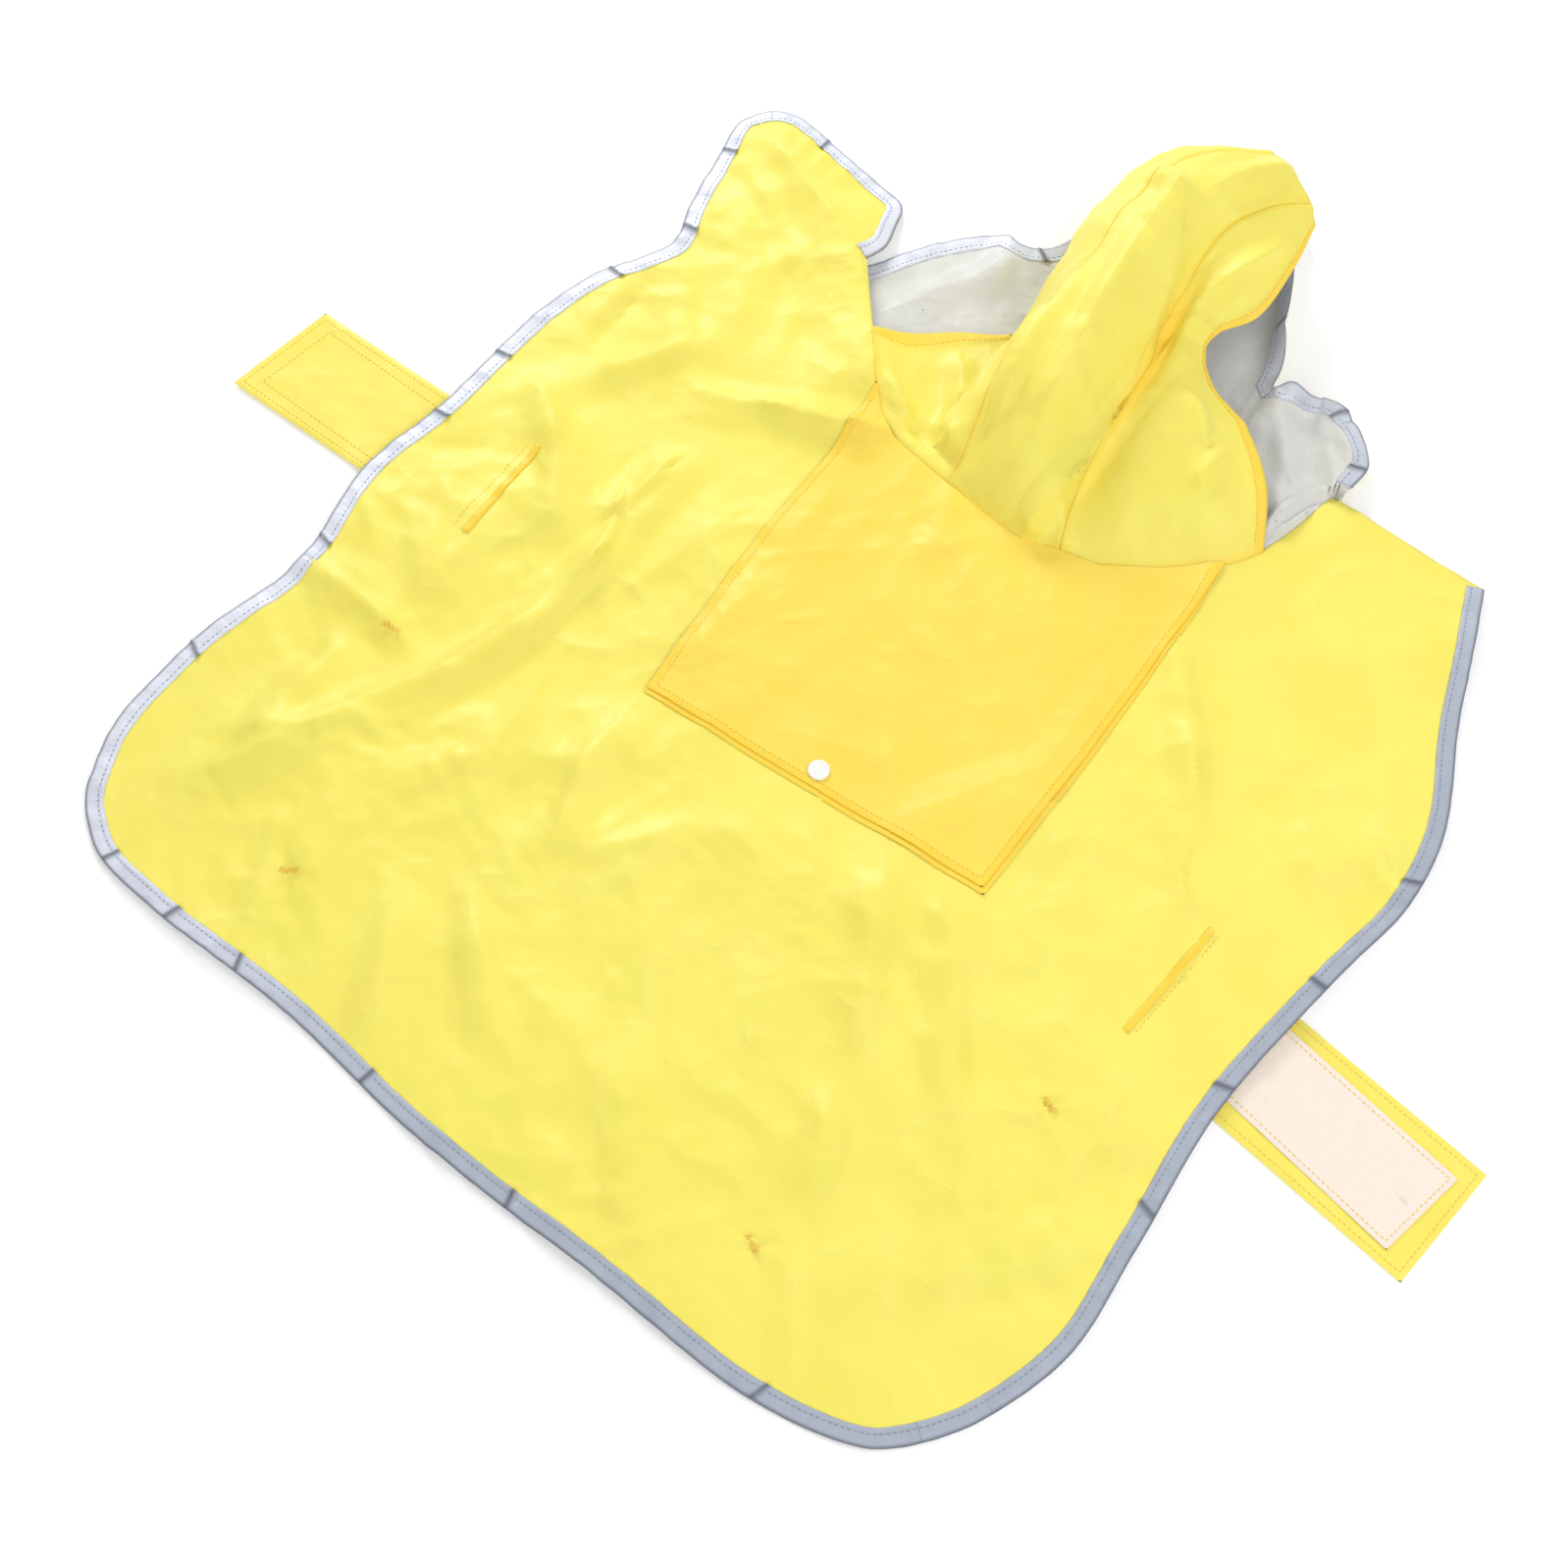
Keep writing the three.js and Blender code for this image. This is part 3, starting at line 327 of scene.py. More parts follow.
def noise(x, y, size, seed):
    """Smooth noise from about -1 to 1: random slopes at the corners of squares, blended by a quintic."""
    count = 64
    turns = np.random.default_rng(seed).uniform(0, 2 * np.pi, (count, count))
    across, up = x / size + count / 2, y / size + count / 2
    i, j = np.floor(across).astype(int), np.floor(up).astype(int)
    f, g = across - i, up - j

    def corner(a, b):
        turn = turns[(i + a) % count, (j + b) % count]
        return np.cos(turn) * (f - a) + np.sin(turn) * (g - b)

    fade_f = f**3 * (f * (6 * f - 15) + 10)
    fade_g = g**3 * (g * (6 * g - 15) + 10)
    low = corner(0, 0) + fade_f * (corner(1, 0) - corner(0, 0))
    high = corner(0, 1) + fade_f * (corner(1, 1) - corner(0, 1))
    return 1.5 * (low + fade_g * (high - low))


def crumple(x, y, height, seed):
    """Faceted crumpling of crisp cloth, from 0 up: one minus the size of smooth noise, whose zero lines
    are crests, at three sizes, with the places pushed about by wider noise first."""
    push = 16 * MM
    wx = x + push * noise(x, y, 90 * MM, seed + 1)
    wy = y + push * noise(x, y, 90 * MM, seed + 2)
    crests = [np.clip(1 - 1.6 * np.abs(noise(wx, wy, size * MM, seed + 3 + k)), 0, 1)
              for k, size in enumerate(CRUMPLE_SIZES)]
    share = np.clip(0.65 + noise(x, y, 120 * MM, seed + 6), 0.15, 1)
    return height * share * (0.55 * crests[0] + 0.3 * crests[1] + 0.15 * crests[2])


def broad_form(x, y):
    """Height of the outer face before its creases: the rises over what lies below and the main folds,
    whose places are pushed about by wide noise so that none runs straight."""
    push, size = 12 * MM, 75 * MM
    wx, wy = x + push * noise(x, y, size, 301), y + push * noise(x, y, size, 302)
    return WALL + rise_heights(x, y, RISES) + FOLD_SHARE * fold_heights(wx, wy, BACK_FOLDS)


def bar_gathers(x, y):
    """Short folds that run out from each thread bar: waves round the bar that fade with distance."""
    total = np.zeros_like(x)
    reach, rays = 11 * MM, 5
    for number, (bx, by, _, _) in enumerate(BARS):
        dx, dy = x - bx * MM, y - by * MM
        away = np.hypot(dx, dy)
        turn = np.arctan2(dy, dx)
        wave = np.cos(rays * turn + 2 * number) * np.clip(away / (3 * MM), 0, 1)
        total += 1.4 * MM * np.exp(-away / reach) * wave - 0.8 * MM * np.exp(-((away / (5 * MM)) ** 2))
    return total


def smooth_curve(rows, spacing):
    """Points spaced evenly on the centripetal curve through rows: between two rows a cubic whose end
    slopes are weighted by the square roots of the chords, each end prolonged straight."""
    knots = np.vstack([2 * rows[:1] - rows[1:2], rows, 2 * rows[-1:] - rows[-2:-1]])
    spans = len(rows) - 1
    place = np.linspace(0, spans, spans * 60 + 1)
    i = np.minimum(place.astype(int), spans - 1)
    t = (place - i)[:, None]
    p0, p1, p2, p3 = knots[i], knots[i + 1], knots[i + 2], knots[i + 3]
    d0, d1, d2 = (np.sqrt(np.linalg.norm(b - a, axis=1, keepdims=True))
                  for a, b in ((p0, p1), (p1, p2), (p2, p3)))
    s1 = d1 * ((p1 - p0) / d0 - (p2 - p0) / (d0 + d1) + (p2 - p1) / d1)
    s2 = d1 * ((p2 - p1) / d1 - (p3 - p1) / (d1 + d2) + (p3 - p2) / d2)
    points = p1 + s1 * t + (3 * (p2 - p1) - 2 * s1 - s2) * t**2 + (2 * (p1 - p2) + s1 + s2) * t**3
    steps = max(4, round(run_of(points)[-1] / spacing))
    return at_shares(points, np.linspace(0, 1, steps + 1))


def run_of(points):
    """Length along a row of points, from its first to each of them."""
    return np.concatenate([[0], np.cumsum(np.linalg.norm(np.diff(points, axis=0), axis=1))])


def at_shares(points, shares):
    """Points of a polyline at shares of its length."""
    run = run_of(points)
    return np.column_stack([np.interp(shares * run[-1], run, column) for column in points.T])


def on_runs(runs, shares):
    """Points at shares of a side made of several runs, where each takes as much as its cells."""
    ends = np.cumsum([0] + [cells for _, cells in runs]) / sum(cells for _, cells in runs)
    found = np.zeros((len(shares), 2))
    for (points, _), start, end in zip(runs, ends, ends[1:]):
        inside = (shares >= start - 1e-9) & (shares <= end + 1e-9)
        found[inside] = at_shares(points, (shares[inside] - start) / (end - start))
    return found


def patch(bottom, right, top, left):
    """Points inside four sides: the blend of bottom and top plus the blend of left and right, less the
    blend of the four corners. Bottom and top run to the right, left and right run up."""
    u = np.linspace(0, 1, len(bottom))[None, :, None]
    v = np.linspace(0, 1, len(left))[:, None, None]
    return ((1 - v) * bottom[None] + v * top[None] + (1 - u) * left[:, None] + u * right[:, None]
            - (1 - v) * ((1 - u) * bottom[0] + u * bottom[-1])
            - v * ((1 - u) * top[0] + u * top[-1]))


def nearest(x, y, line):
    """Distance to the nearest point of a line, and its number, for a block of places at a time."""
    places = np.column_stack([x.ravel(), y.ravel()])
    blocks = np.array_split(places, max(1, len(places) // 2000))
    far = [((block[:, None] - line[None]) ** 2).sum(2) for block in blocks]
    number = np.concatenate([f.argmin(1) for f in far])
    distance = np.sqrt(np.concatenate([f.min(1) for f in far]))
    return distance.reshape(x.shape), number.reshape(x.shape)


class Panel:
    """A cloth panel on the surface below it: its closed edge, what of it is bound, and its height."""

    def __init__(self, sides, heights, pinches, corners, curls, seed):
        self.sides, self.heights, self.seed = sides, heights, seed
        self.join_runs()
        self.round_corners(corners)
        self.face_inward()
        reach = np.where(self.bound | np.roll(self.bound, 1), BIND_REACH, 0)
        self.cloth = self.line + self.inward * reach[:, None]
        self.pinches = [self.number_of(px, py) for px, py in pinches]
        self.curl = np.zeros(len(self.line))
        for x1, y1, x2, y2, degrees in curls:
            start, end = self.number_of(x1 * MM, y1 * MM), self.number_of(x2 * MM, y2 * MM)
            low, high = min(start, end), max(start, end)
            hump = np.sin(np.pi * np.linspace(0, 1, high - low + 1))
            self.curl[low:high + 1] = np.radians(degrees) * np.clip(1.6 * hump, 0, 1)

    def join_runs(self):
        """Joins the curves of all sides to one closed edge, and notes where each run starts."""
        lines, bound, self.starts = [], [], []
        for side in self.sides:
            for rows, _, held in side:
                points = smooth_curve(rows, EDGE_STEP)[:-1]
                self.starts.append(sum(len(line) for line in lines))
                lines.append(points)
                bound.append(np.full(len(points), held))
        self.line = np.vstack(lines)
        self.bound = np.concatenate(bound)
        self.starts.append(len(self.line))

    def round_corners(self, corners):
        """Blends the edge near some starts of runs into its own running mean."""
        soft = self.softened(self.line, 10 * MM)
        for corner in corners:
            away = np.abs(np.arange(len(self.line)) - self.starts[corner])
            away = np.minimum(away, len(self.line) - away) * EDGE_STEP
            self.line = self.line + half_wave(away / (32 * MM))[:, None] * (soft - self.line)

    def face_inward(self):
        """Finds the direction into the cloth at each point: square to the mean of the steps before and
        after it, longer at a corner but at most by half, and softened along the edge."""
        after = np.roll(self.line, -1, 0) - self.line
        after /= np.linalg.norm(after, axis=1, keepdims=True)
        before = np.roll(after, 1, 0)
        held, held_before = self.bound[:, None], np.roll(self.bound, 1)[:, None]
        before, after = (np.where(held & ~held_before, after, before),
                         np.where(held_before & ~held, before, after))
        inward = np.column_stack([-before[:, 1] - after[:, 1], before[:, 0] + after[:, 0]])
        inward /= 1 + (before * after).sum(1, keepdims=True)
        size = np.linalg.norm(inward, axis=1, keepdims=True)
        self.inward = self.softened(inward * np.minimum(1, 1.5 / size), 4 * MM)

    def number_of(self, x, y):
        """Number of the edge's point nearest to a place."""
        return int(((self.line - (x, y)) ** 2).sum(1).argmin())

    def curled(self, points):
        """Points near a curled hem, turned up about a line that lies inside it."""
        if not self.curl.any():
            return points
        away, number = nearest(points[..., 0], points[..., 1], self.line)
        turn, reach = self.curl[number], np.maximum(CURL_REACH - away, 0)
        shift = (reach * (1 - np.cos(turn)))[..., None] * self.inward[number]
        up = points[..., 2] + reach * np.sin(turn)
        return np.concatenate([points[..., :2] + shift, up[..., None]], -1)

    def softened(self, values, reach):
        """Running mean of values along the edge within a reach, taken over its bound points only."""
        steps = range(-round(reach / EDGE_STEP), round(reach / EDGE_STEP) + 1)
        held = (self.bound | np.roll(self.bound, 1)).astype(float)[:, None]
        total = sum(np.roll(values * held, step, 0) for step in steps)
        weight = sum(np.roll(held, step, 0) for step in steps)
        return np.where(held > 0, total / np.maximum(weight, 1), values)

    def grid(self, across, up, rounds=0):
        """Points of the panel, with so many cells between its sides, each point inside moved to the mean
        of its neighbours in rounds so that no cell folds over."""
        closed = np.vstack([self.cloth, self.cloth[:1]])
        run, made = 0, []
        for side, cells in zip(self.sides, (across, up, across, up)):
            runs = []
            for _, weight, _ in side:
                runs.append((closed[self.starts[run]:self.starts[run + 1] + 1], weight))
                run += 1
            made.append(on_runs(runs, np.linspace(0, 1, cells + 1)))
        bottom, right, top, left = made
        flat = patch(bottom, right, top[::-1], left[::-1])
        for _ in range(rounds):
            flat[1:-1, 1:-1] = (flat[:-2, 1:-1] + flat[2:, 1:-1] + flat[1:-1, :-2] + flat[1:-1, 2:]) / 4
        return flat

    def near_edge(self, x, y):
        """Distance to the edge, and the number of its nearest point among every third one."""
        away, number = nearest(x, y, self.line[::3])
        return away, 3 * number

    def top(self, x, y):
        """Height of the panel's upper face: its folds, with the edge gathered by its binding and turned
        down where it has none."""
        away, number = self.near_edge(x, y)
        run = number * EDGE_STEP
        ripple = (noise(run, 0.3 * away, 13 * MM, self.seed + 8)
                  + 0.6 * noise(run, away, 7 * MM, self.seed + 9))
        edge = np.where(self.bound[number], 0.75 * MM * ripple * np.exp(-away / (13 * MM)),
                        -0.9 * MM * np.exp(-away / (1.4 * MM)))
        return np.maximum(self.heights(x, y) + edge, 1.0 * MM)

    def cloth_top(self, x, y):
        """Height of the cloth alone, which is pressed a little lower inside its binding."""
        away, number = self.near_edge(x, y)
        sunk = np.where(self.bound[number], 0.5 * MM * half_wave((away - 5 * MM) / (4 * MM)), 0)
        return np.maximum(self.top(x, y) - sunk, 0.5 * MM)

    def pinch(self, numbers, reach):
        """Share of the small folds across the binding: bell curves along the edge, each on a slant."""
        total = np.zeros((len(numbers), len(reach)))
        for order, place in enumerate(self.pinches):
            slant = 0.45 * np.sin(2.4 * order)
            off = ((numbers - place) * EDGE_STEP)[:, None] + slant * reach[None]
            total = np.maximum(total, np.exp(-((off / (1.7 * MM)) ** 2)))
        return total


def back_heights(x, y):
    """Height of the back panel's outer face: rises, folds, creases, gathers and crumpling."""
    calm = 1 - rise_heights(x, y, POUCH_CALM)
    crumples = (calm * crumple(x, y, BACK_CRUMPLE, 10) + crease_heights(x, y, BACK_CREASES)
                + bar_gathers(x, y))
    mark = np.hypot(x - SNAP_MARK[0] * MM, y - SNAP_MARK[1] * MM) / (4 * MM)
    return np.maximum(broad_form(x, y) + crumples + 0.8 * MM * np.exp(-(mark**4)), LEAST_TOP)


def chest_heights(x, y):
    """Height of the chest panel's upper face: folds, creases and crumpling, always below the back."""
    crumples = crumple(x, y, CHEST_CRUMPLE, 40) + crease_heights(x, y, CHEST_CREASES)
    own = WALL + fold_heights(x, y, CHEST_FOLDS) + crumples
    back = panel_of("back")
    _, number = back.near_edge(x, y)
    inside = ((np.stack([x, y], -1) - back.line[number]) * back.inward[number]).sum(-1) > -1 * MM
    return np.where(inside, np.minimum(own, back_heights(x, y) - UNDER_BACK), own)


def quads_between(first, second):
    """Four-cornered faces between two rows of point numbers of one length."""
    return np.column_stack([first[:-1], first[1:], second[1:], second[:-1]])


def cells_of(number):
    """Four-cornered faces of a grid of point numbers."""
    return np.stack([number[:-1, :-1], number[:-1, 1:], number[1:, 1:], number[1:, :-1]], -1).reshape(-1, 4)


def shell(outer, inner):
    """A closed wall between two grids of points that share their shape: both faces, and the rim that
    joins their four sides. Its faces are turned outward by the sign of its volume."""
    rows, columns = outer.shape[:2]
    number = np.arange(rows * columns).reshape(rows, columns)
    lower = number + rows * columns
    rim = [quads_between(lower[0], number[0]), quads_between(number[-1], lower[-1]),
           quads_between(number[:, 0], lower[:, 0]), quads_between(lower[:, -1], number[:, -1])]
    return turned_out(np.concatenate([outer.reshape(-1, 3), inner.reshape(-1, 3)]),
                      np.concatenate([cells_of(number), cells_of(lower)[:, [0, 3, 2, 1]], *rim]))


def turned_out(points, faces):
    """Points and faces, with all faces reversed if the volume that they close is negative."""
    a, b, c, d = (points[faces[:, k]] for k in range(4))
    volume = (np.cross(a, b) * c).sum() + (np.cross(a, c) * d).sum()
    return points, faces if volume > 0 else faces[:, ::-1]


def tube(rings):
    """A closed tube through rings of points, with its two ends closed between the outer half of each
    ring and the inner half that runs back."""
    count, around = rings.shape[:2]
    number = np.arange(count * around).reshape(count, around)
    cells = cells_of(np.column_stack([number, number[:, 0]]))
    half = around // 2
    caps = []
    for ring, turned in ((number[0], False), (number[-1], True)):
        cap = quads_between(ring[:half], ring[::-1][:half])
        caps.append(cap if turned else cap[:, ::-1])
    return turned_out(rings.reshape(-1, 3), np.concatenate([cells, *caps]))


def joined(parts):
    """Several meshes of points and faces as one."""
    points, faces, count = [], [], 0
    for more, cells in parts:
        points.append(more)
        faces.append(cells + count)
        count += len(more)
    return np.concatenate(points), np.concatenate(faces)


def binding_mesh(panel, first, last, sizes):
    """A folded tape along an edge from one point number to another: a C-shaped section of its own
    thickness carried along the edge, with a stitched groove, small waves and pinches. With it goes the
    share of painted shade at each point: in the folds of the pinches and along the tape's outer fold."""
    numbers = np.arange(first, last + 1)
    ring = numbers % len(panel.line)
    width, tape = sizes.binding_width, sizes.binding_tape
    reach = width * np.array([1, 0.85, 0.7, 0.5, 0.2, 0.04, 0, 0.04, 0.2, 0.5, 0.7, 0.85, 1])
    rise = np.array([-1, -1.1, -1, -1.15, -1.1, -0.8, 0, 0.8, 1.1, 1.2, 0.6, 1.15, 0.95]) * tape
    rise += np.sign(rise) * FINE / 2
    inner_reach = np.maximum(reach, 0.06 * width)
    inner_rise = np.sign(rise) * (FINE / 2 + 0.04 * MM)
    share = np.concatenate([reach, inner_reach[::-1]])
    lift = np.concatenate([rise, inner_rise[::-1]])
    flat = panel.line[ring][:, None] + share[None, :, None] * panel.inward[ring][:, None]
    middle = panel.top(flat[..., 0], flat[..., 1]) - FINE / 2
    wave = 0.2 * MM * noise(numbers * EDGE_STEP, numbers * 0.0, 6 * MM, panel.seed + 12)
    pinch = panel.pinch(ring, share)
    swell = (1.3 * MM * pinch + wave[:, None]) * (lift > FINE / 2)[None]
    z = np.maximum(middle + lift[None] + swell, 0.02 * MM)
    # Painted shade: a dark line along the tape's outer fold, with the dark folds of the pinches
    rim = 0.75 * (share < 0.05 * width)[None]
    return tube(panel.curled(np.dstack([flat, z]))), np.maximum(0.9 * pinch, rim)


def four_sides(corners, across, up):
    """The four sides of a four-cornered piece as rows of points, for patch."""
    a, b, c, d = corners
    u, v = np.linspace(0, 1, across + 1)[:, None], np.linspace(0, 1, up + 1)[:, None]
    return a + u * (b - a), b + v * (c - b), d + u * (c - d), a + v * (d - a)


def side_of(rows, cells):
    """A side of straight stretches as evenly spaced points."""
    return at_shares(rows, np.linspace(0, 1, cells + 1))


def rounded(flat, top, thickness, radius):
    """A closed piece of some thickness under a height given at its points, its edges rounded off: the
    faces close in toward the middle by a quarter circle within the radius of the edge."""
    rim = np.concatenate([flat[0], flat[-1], flat[:, 0], flat[:, -1]])
    away, _ = nearest(flat[..., 0], flat[..., 1], rim)
    share = np.clip(away / radius, 0, 1)
    body = np.sqrt(1 - (1 - share) ** 2) * thickness / 2
    middle = top - thickness / 2
    return shell(np.dstack([flat, middle + body]), np.dstack([flat, middle - body]))


def spline(points, shares):
    """Even cubic spline through points along their first axis, each end prolonged straight: half of
    2b + (c-a)t + (2a-5b+4c-d)t2 + (3b-a-3c+d)t3 between points b and c."""
    spans = len(points) - 1
    padded = np.concatenate([2 * points[:1] - points[1:2], points, 2 * points[-1:] - points[-2:-1]])
    place = np.clip(shares, 0, 1) * spans
    i = np.minimum(place.astype(int), spans - 1)
    t = (place - i).reshape((-1,) + (1,) * (points.ndim - 1))
    a, b, c, d = padded[i], padded[i + 1], padded[i + 2], padded[i + 3]
    return b + 0.5 * t * (c - a + t * (2 * a - 5 * b + 4 * c - d + t * (3 * b - a - 3 * c + d)))


def hood_guides():
    """The guide points of the hood: seven sections of seven points, the middle ones raised."""
    made = []
    for hem_l, side_l, seam_l, rise, seam_r, bulge, hem_r in HOOD_SECTIONS:
        crown = (np.add(seam_l, seam_r) / 2) + (0, 0, rise)
        swell = (np.add(seam_r, hem_r) / 2) + (0, 0, bulge)
        made.append([hem_l, side_l, seam_l, crown, seam_r, swell, hem_r])
    return MM * np.array(made, float)


def neck_seat(u):
    """The hood's lowest row: points along the neck of the back panel, just outside it and on it."""
    neck = smooth_curve(np.vstack([NECK, HOOD_CORNER]), 0.5 * MM)
    share = np.interp(u, np.linspace(0, 1, len(NECK_SHARES)), NECK_SHARES)
    place = at_shares(neck, share)
    ahead = at_shares(neck, np.clip(share + 0.001, 0, 1)) - at_shares(neck, np.clip(share - 0.001, 0, 1))
    ahead /= np.linalg.norm(ahead, axis=1, keepdims=True)
    x, y = place[:, 0] + HOOD_SEAT * ahead[:, 1], place[:, 1] - HOOD_SEAT * ahead[:, 0]
    return np.column_stack([x, y, np.maximum(back_heights(x, y) + HOOD_LIFT, 0.3 * MM)])


def hood_grid(u, v):
    """Points of the hood's inner face at shares u across it, from the left hem to the right one, and v
    up it, with the direction square to it. Two splines cross: one through each section and the neck
    seat, one through the rows that they give."""
    sections = np.stack([spline(section, u) for section in hood_guides()])
    points = spline(np.concatenate([neck_seat(u)[None], sections]), v)
    square = np.cross(np.gradient(points, axis=1), np.gradient(points, axis=0))
    return points, square / np.linalg.norm(square, axis=2, keepdims=True)


def deep_valley(u, v, width):
    """Share of the valley that lies along the lower part of the hood's right seam."""
    across = np.exp(-((np.abs(u - VALLEY_PLACE[0])[None] * width / VALLEY_HALF) ** 2))
    return across * half_wave(np.abs(v - VALLEY_PLACE[1]) / VALLEY_REACH)[:, None]


def hood_outer(u, v):
    """The hood's outer face: its form moved out by the wall, with creases, crumpling, doubled hems, the
    valley beside the right seam and a groove along each seam."""
    points, square = hood_grid(u, v)
    x, y = points[..., 0], points[..., 1]
    low = half_wave(v / 0.06)[:, None]
    width = np.linalg.norm(np.diff(points, axis=1), axis=2).sum(1)[:, None] / (u[-1] - u[0])
    hem = np.minimum(u, 1 - u)[None] * width
    lift = crease_heights(x, y, HOOD_CREASES) + crumple(x, y, HOOD_CRUMPLE, 70)
    lift -= VALLEY_DEPTH * deep_valley(u, v, width)
    lift += HEM_STEP * half_wave((hem - 7 * MM) / (1.5 * MM))
    for seam in (1 / 3, 2 / 3):
        away = np.abs(u - seam)[None] * width
        lift -= SEAM_GROOVE * np.exp(-((away / (1.6 * MM)) ** 2))
        ripple = noise(v * 0.25, v * 0.0, 9 * MM, round(100 * seam))[:, None]
        lift += 0.5 * MM * ripple * np.exp(-away / (9 * MM))
    outer = points + square * (WALL + lift * (1 - low))[..., None]
    return outer, square


class Wire:
    """A socket of a material, with arithmetic that adds Math nodes."""

    def __init__(self, paint, socket):
        self.paint = paint
        self.socket = socket

    def __add__(self, other):
        return self.paint.maths("ADD", self, other)

    def __sub__(self, other):
        return self.paint.maths("SUBTRACT", self, other)

    def __rsub__(self, other):
        return self.paint.maths("SUBTRACT", other, self)

    def __mul__(self, other):
        return self.paint.maths("MULTIPLY", self, other)

    def __pow__(self, other):
        return self.paint.maths("POWER", self, other)

    __radd__ = __add__
    __rmul__ = __mul__


class Paint:
    """A material and its nodes, added one at a time."""

    def __init__(self, name, constants):
        self.material = bpy.data.materials.new(name)
        self.material.use_nodes = True
        self.tree = self.material.node_tree
        self.shader = self.tree.nodes["Principled BSDF"]
        self.give(self.shader, constants)
        self.place = self.add("ShaderNodeTexCoord", output="Object")

    def give(self, node, values):
        """Sets or links a node's sockets."""
        for key, value in values.items():
            if isinstance(value, Wire):
                self.tree.links.new(value.socket, node.inputs[key])
            else:
                node.inputs[key].default_value = value

    def add(self, kind, settings=None, values=None, output=0):
        """A node of a type, with its settings first and then its sockets' values or links."""
        node = self.tree.nodes.new(kind)
        for key, value in (settings or {}).items():
            setattr(node, key, value)
        self.give(node, values or {})
        return Wire(self, node.outputs[output])

    def maths(self, operation, *values):
        """A Math node on sockets and numbers."""
        return self.add("ShaderNodeMath", {"operation": operation}, dict(enumerate(values)))

    def noise(self, scale, detail=2.0):
        """Noise on the piece's own coordinates, in cells to the metre."""
        values = {"Vector": self.place, "Scale": scale, "Detail": detail}
        return self.add("ShaderNodeTexNoise", None, values)

    def ridged(self, scale, detail):
        """Noise with crests along its zero lines, from 0 to about 1."""
        values = {"Vector": self.place, "Scale": scale, "Detail": detail, "Roughness": 0.45, "Offset": 1.0,
                  "Gain": 1.2}
        return 0.6 * self.add("ShaderNodeTexNoise", {"noise_type": "RIDGED_MULTIFRACTAL"}, values)

    def between(self, value, low, high):
        """A smooth step from 0 at low to 1 at high."""
        return self.add("ShaderNodeMapRange", {"interpolation_type": "SMOOTHSTEP"},
                        {"Value": value, "From Min": low, "From Max": high})

    def mixed(self, share, first, second):
        """A colour between two others."""
        return self.add("ShaderNodeMix", {"data_type": "RGBA"}, {0: share, 6: first, 7: second}, output=2)

    def axes(self, turn=(0, 0, 0)):
        """X, Y and Z of the piece's coordinates, turned about the origin."""
        turned = self.add("ShaderNodeMapping", None, {"Vector": self.place, "Rotation": turn})
        return [self.add("ShaderNodeSeparateXYZ", None, {"Vector": turned}, output=k) for k in range(3)]

    def bumps(self, height, distance):
        """Gives the surface relief: a height in units of a distance."""
        normal = self.add("ShaderNodeBump", None, {"Height": height, "Distance": distance, "Strength": 1.0})
        self.give(self.shader, {"Normal": normal})


def coated_cloth(name, colour, deep, shade, pale):
    """Crisp coated polyester: embossed with small lozenges in patches, finely crinkled, painted paler on
    the crests of its crinkles as a painted highlight, deeper in colour where the cloth is doubled and
    where the share carries painted shade, and a little darker in broad clouds."""
    paint = Paint(name, {"IOR": 1.46, "Sheen Weight": 0.12, "Sheen Roughness": 0.4})
    across, up, _ = paint.axes((0, 0, 0.72))
    pitch = 2 * np.pi / LOZENGE
    lozenge = paint.maths("SINE", across * pitch) * paint.maths("SINE", up * (1.25 * pitch))
    patches = paint.between(paint.noise(13.0, 3.0), 0.46, 0.58)
    crinkle = paint.ridged(17.0, 3.0) ** 2.0
    crisp = 0.25 + 0.75 * paint.between(paint.noise(8.0, 2.0), 0.4, 0.6)
    fine = paint.noise(260.0, 2.0)
    crinkles = crinkle * crisp * 1.5 + paint.ridged(52.0, 3.0) * 0.16
    paint.bumps(crinkles + fine * 0.03 + lozenge * patches * 0.05, MM)
    clouds = paint.between(paint.noise(17.0, 4.0), 0.35, 0.68)
    doubled = paint.add("ShaderNodeAttribute", {"attribute_name": "share"}, output="Fac")
    base = paint.mixed(clouds * 0.5, colour, shade)
    # Painted highlight: paler colour on the crests of the crinkle relief
    base = paint.mixed(crinkle * crisp * 0.35, base, pale)
    base = paint.mixed(patches * 0.14 * paint.maths("ABSOLUTE", lozenge), base, deep)
    # The share deepens the colour for doubled cloth, and for painted shade in the hood's valley beside its
    # right seam
    base = paint.mixed(doubled, base, deep)
    rough = 0.45 + 0.1 * clouds + 0.05 * fine
    paint.give(paint.shader, {"Base Color": base, "Roughness": rough, "Coat Weight": 0.03 * (1 - clouds)})
    return paint.material


def grey_lining(name, colour, dark):
    """The matte coated inside: pale, clouded, with small dark specks and fine crinkles."""
    paint = Paint(name, {"IOR": 1.45})
    clouds = paint.between(paint.noise(24.0, 4.0), 0.35, 0.7)
    specks = (paint.between(paint.noise(420.0, 1.0), 0.74, 0.8)
              * paint.between(paint.noise(40.0, 1.0), 0.42, 0.6))
    base = paint.mixed(clouds * 0.55, colour, dark)
    base = paint.mixed(specks * 0.8, base, (0.16, 0.16, 0.15, 1))
    paint.bumps(paint.ridged(60.0, 3.0) * 0.5 + paint.noise(300.0) * 0.15, 1.1 * MM)
    paint.give(paint.shader, {"Base Color": base, "Roughness": 0.5 + 0.15 * clouds})
    return paint.material


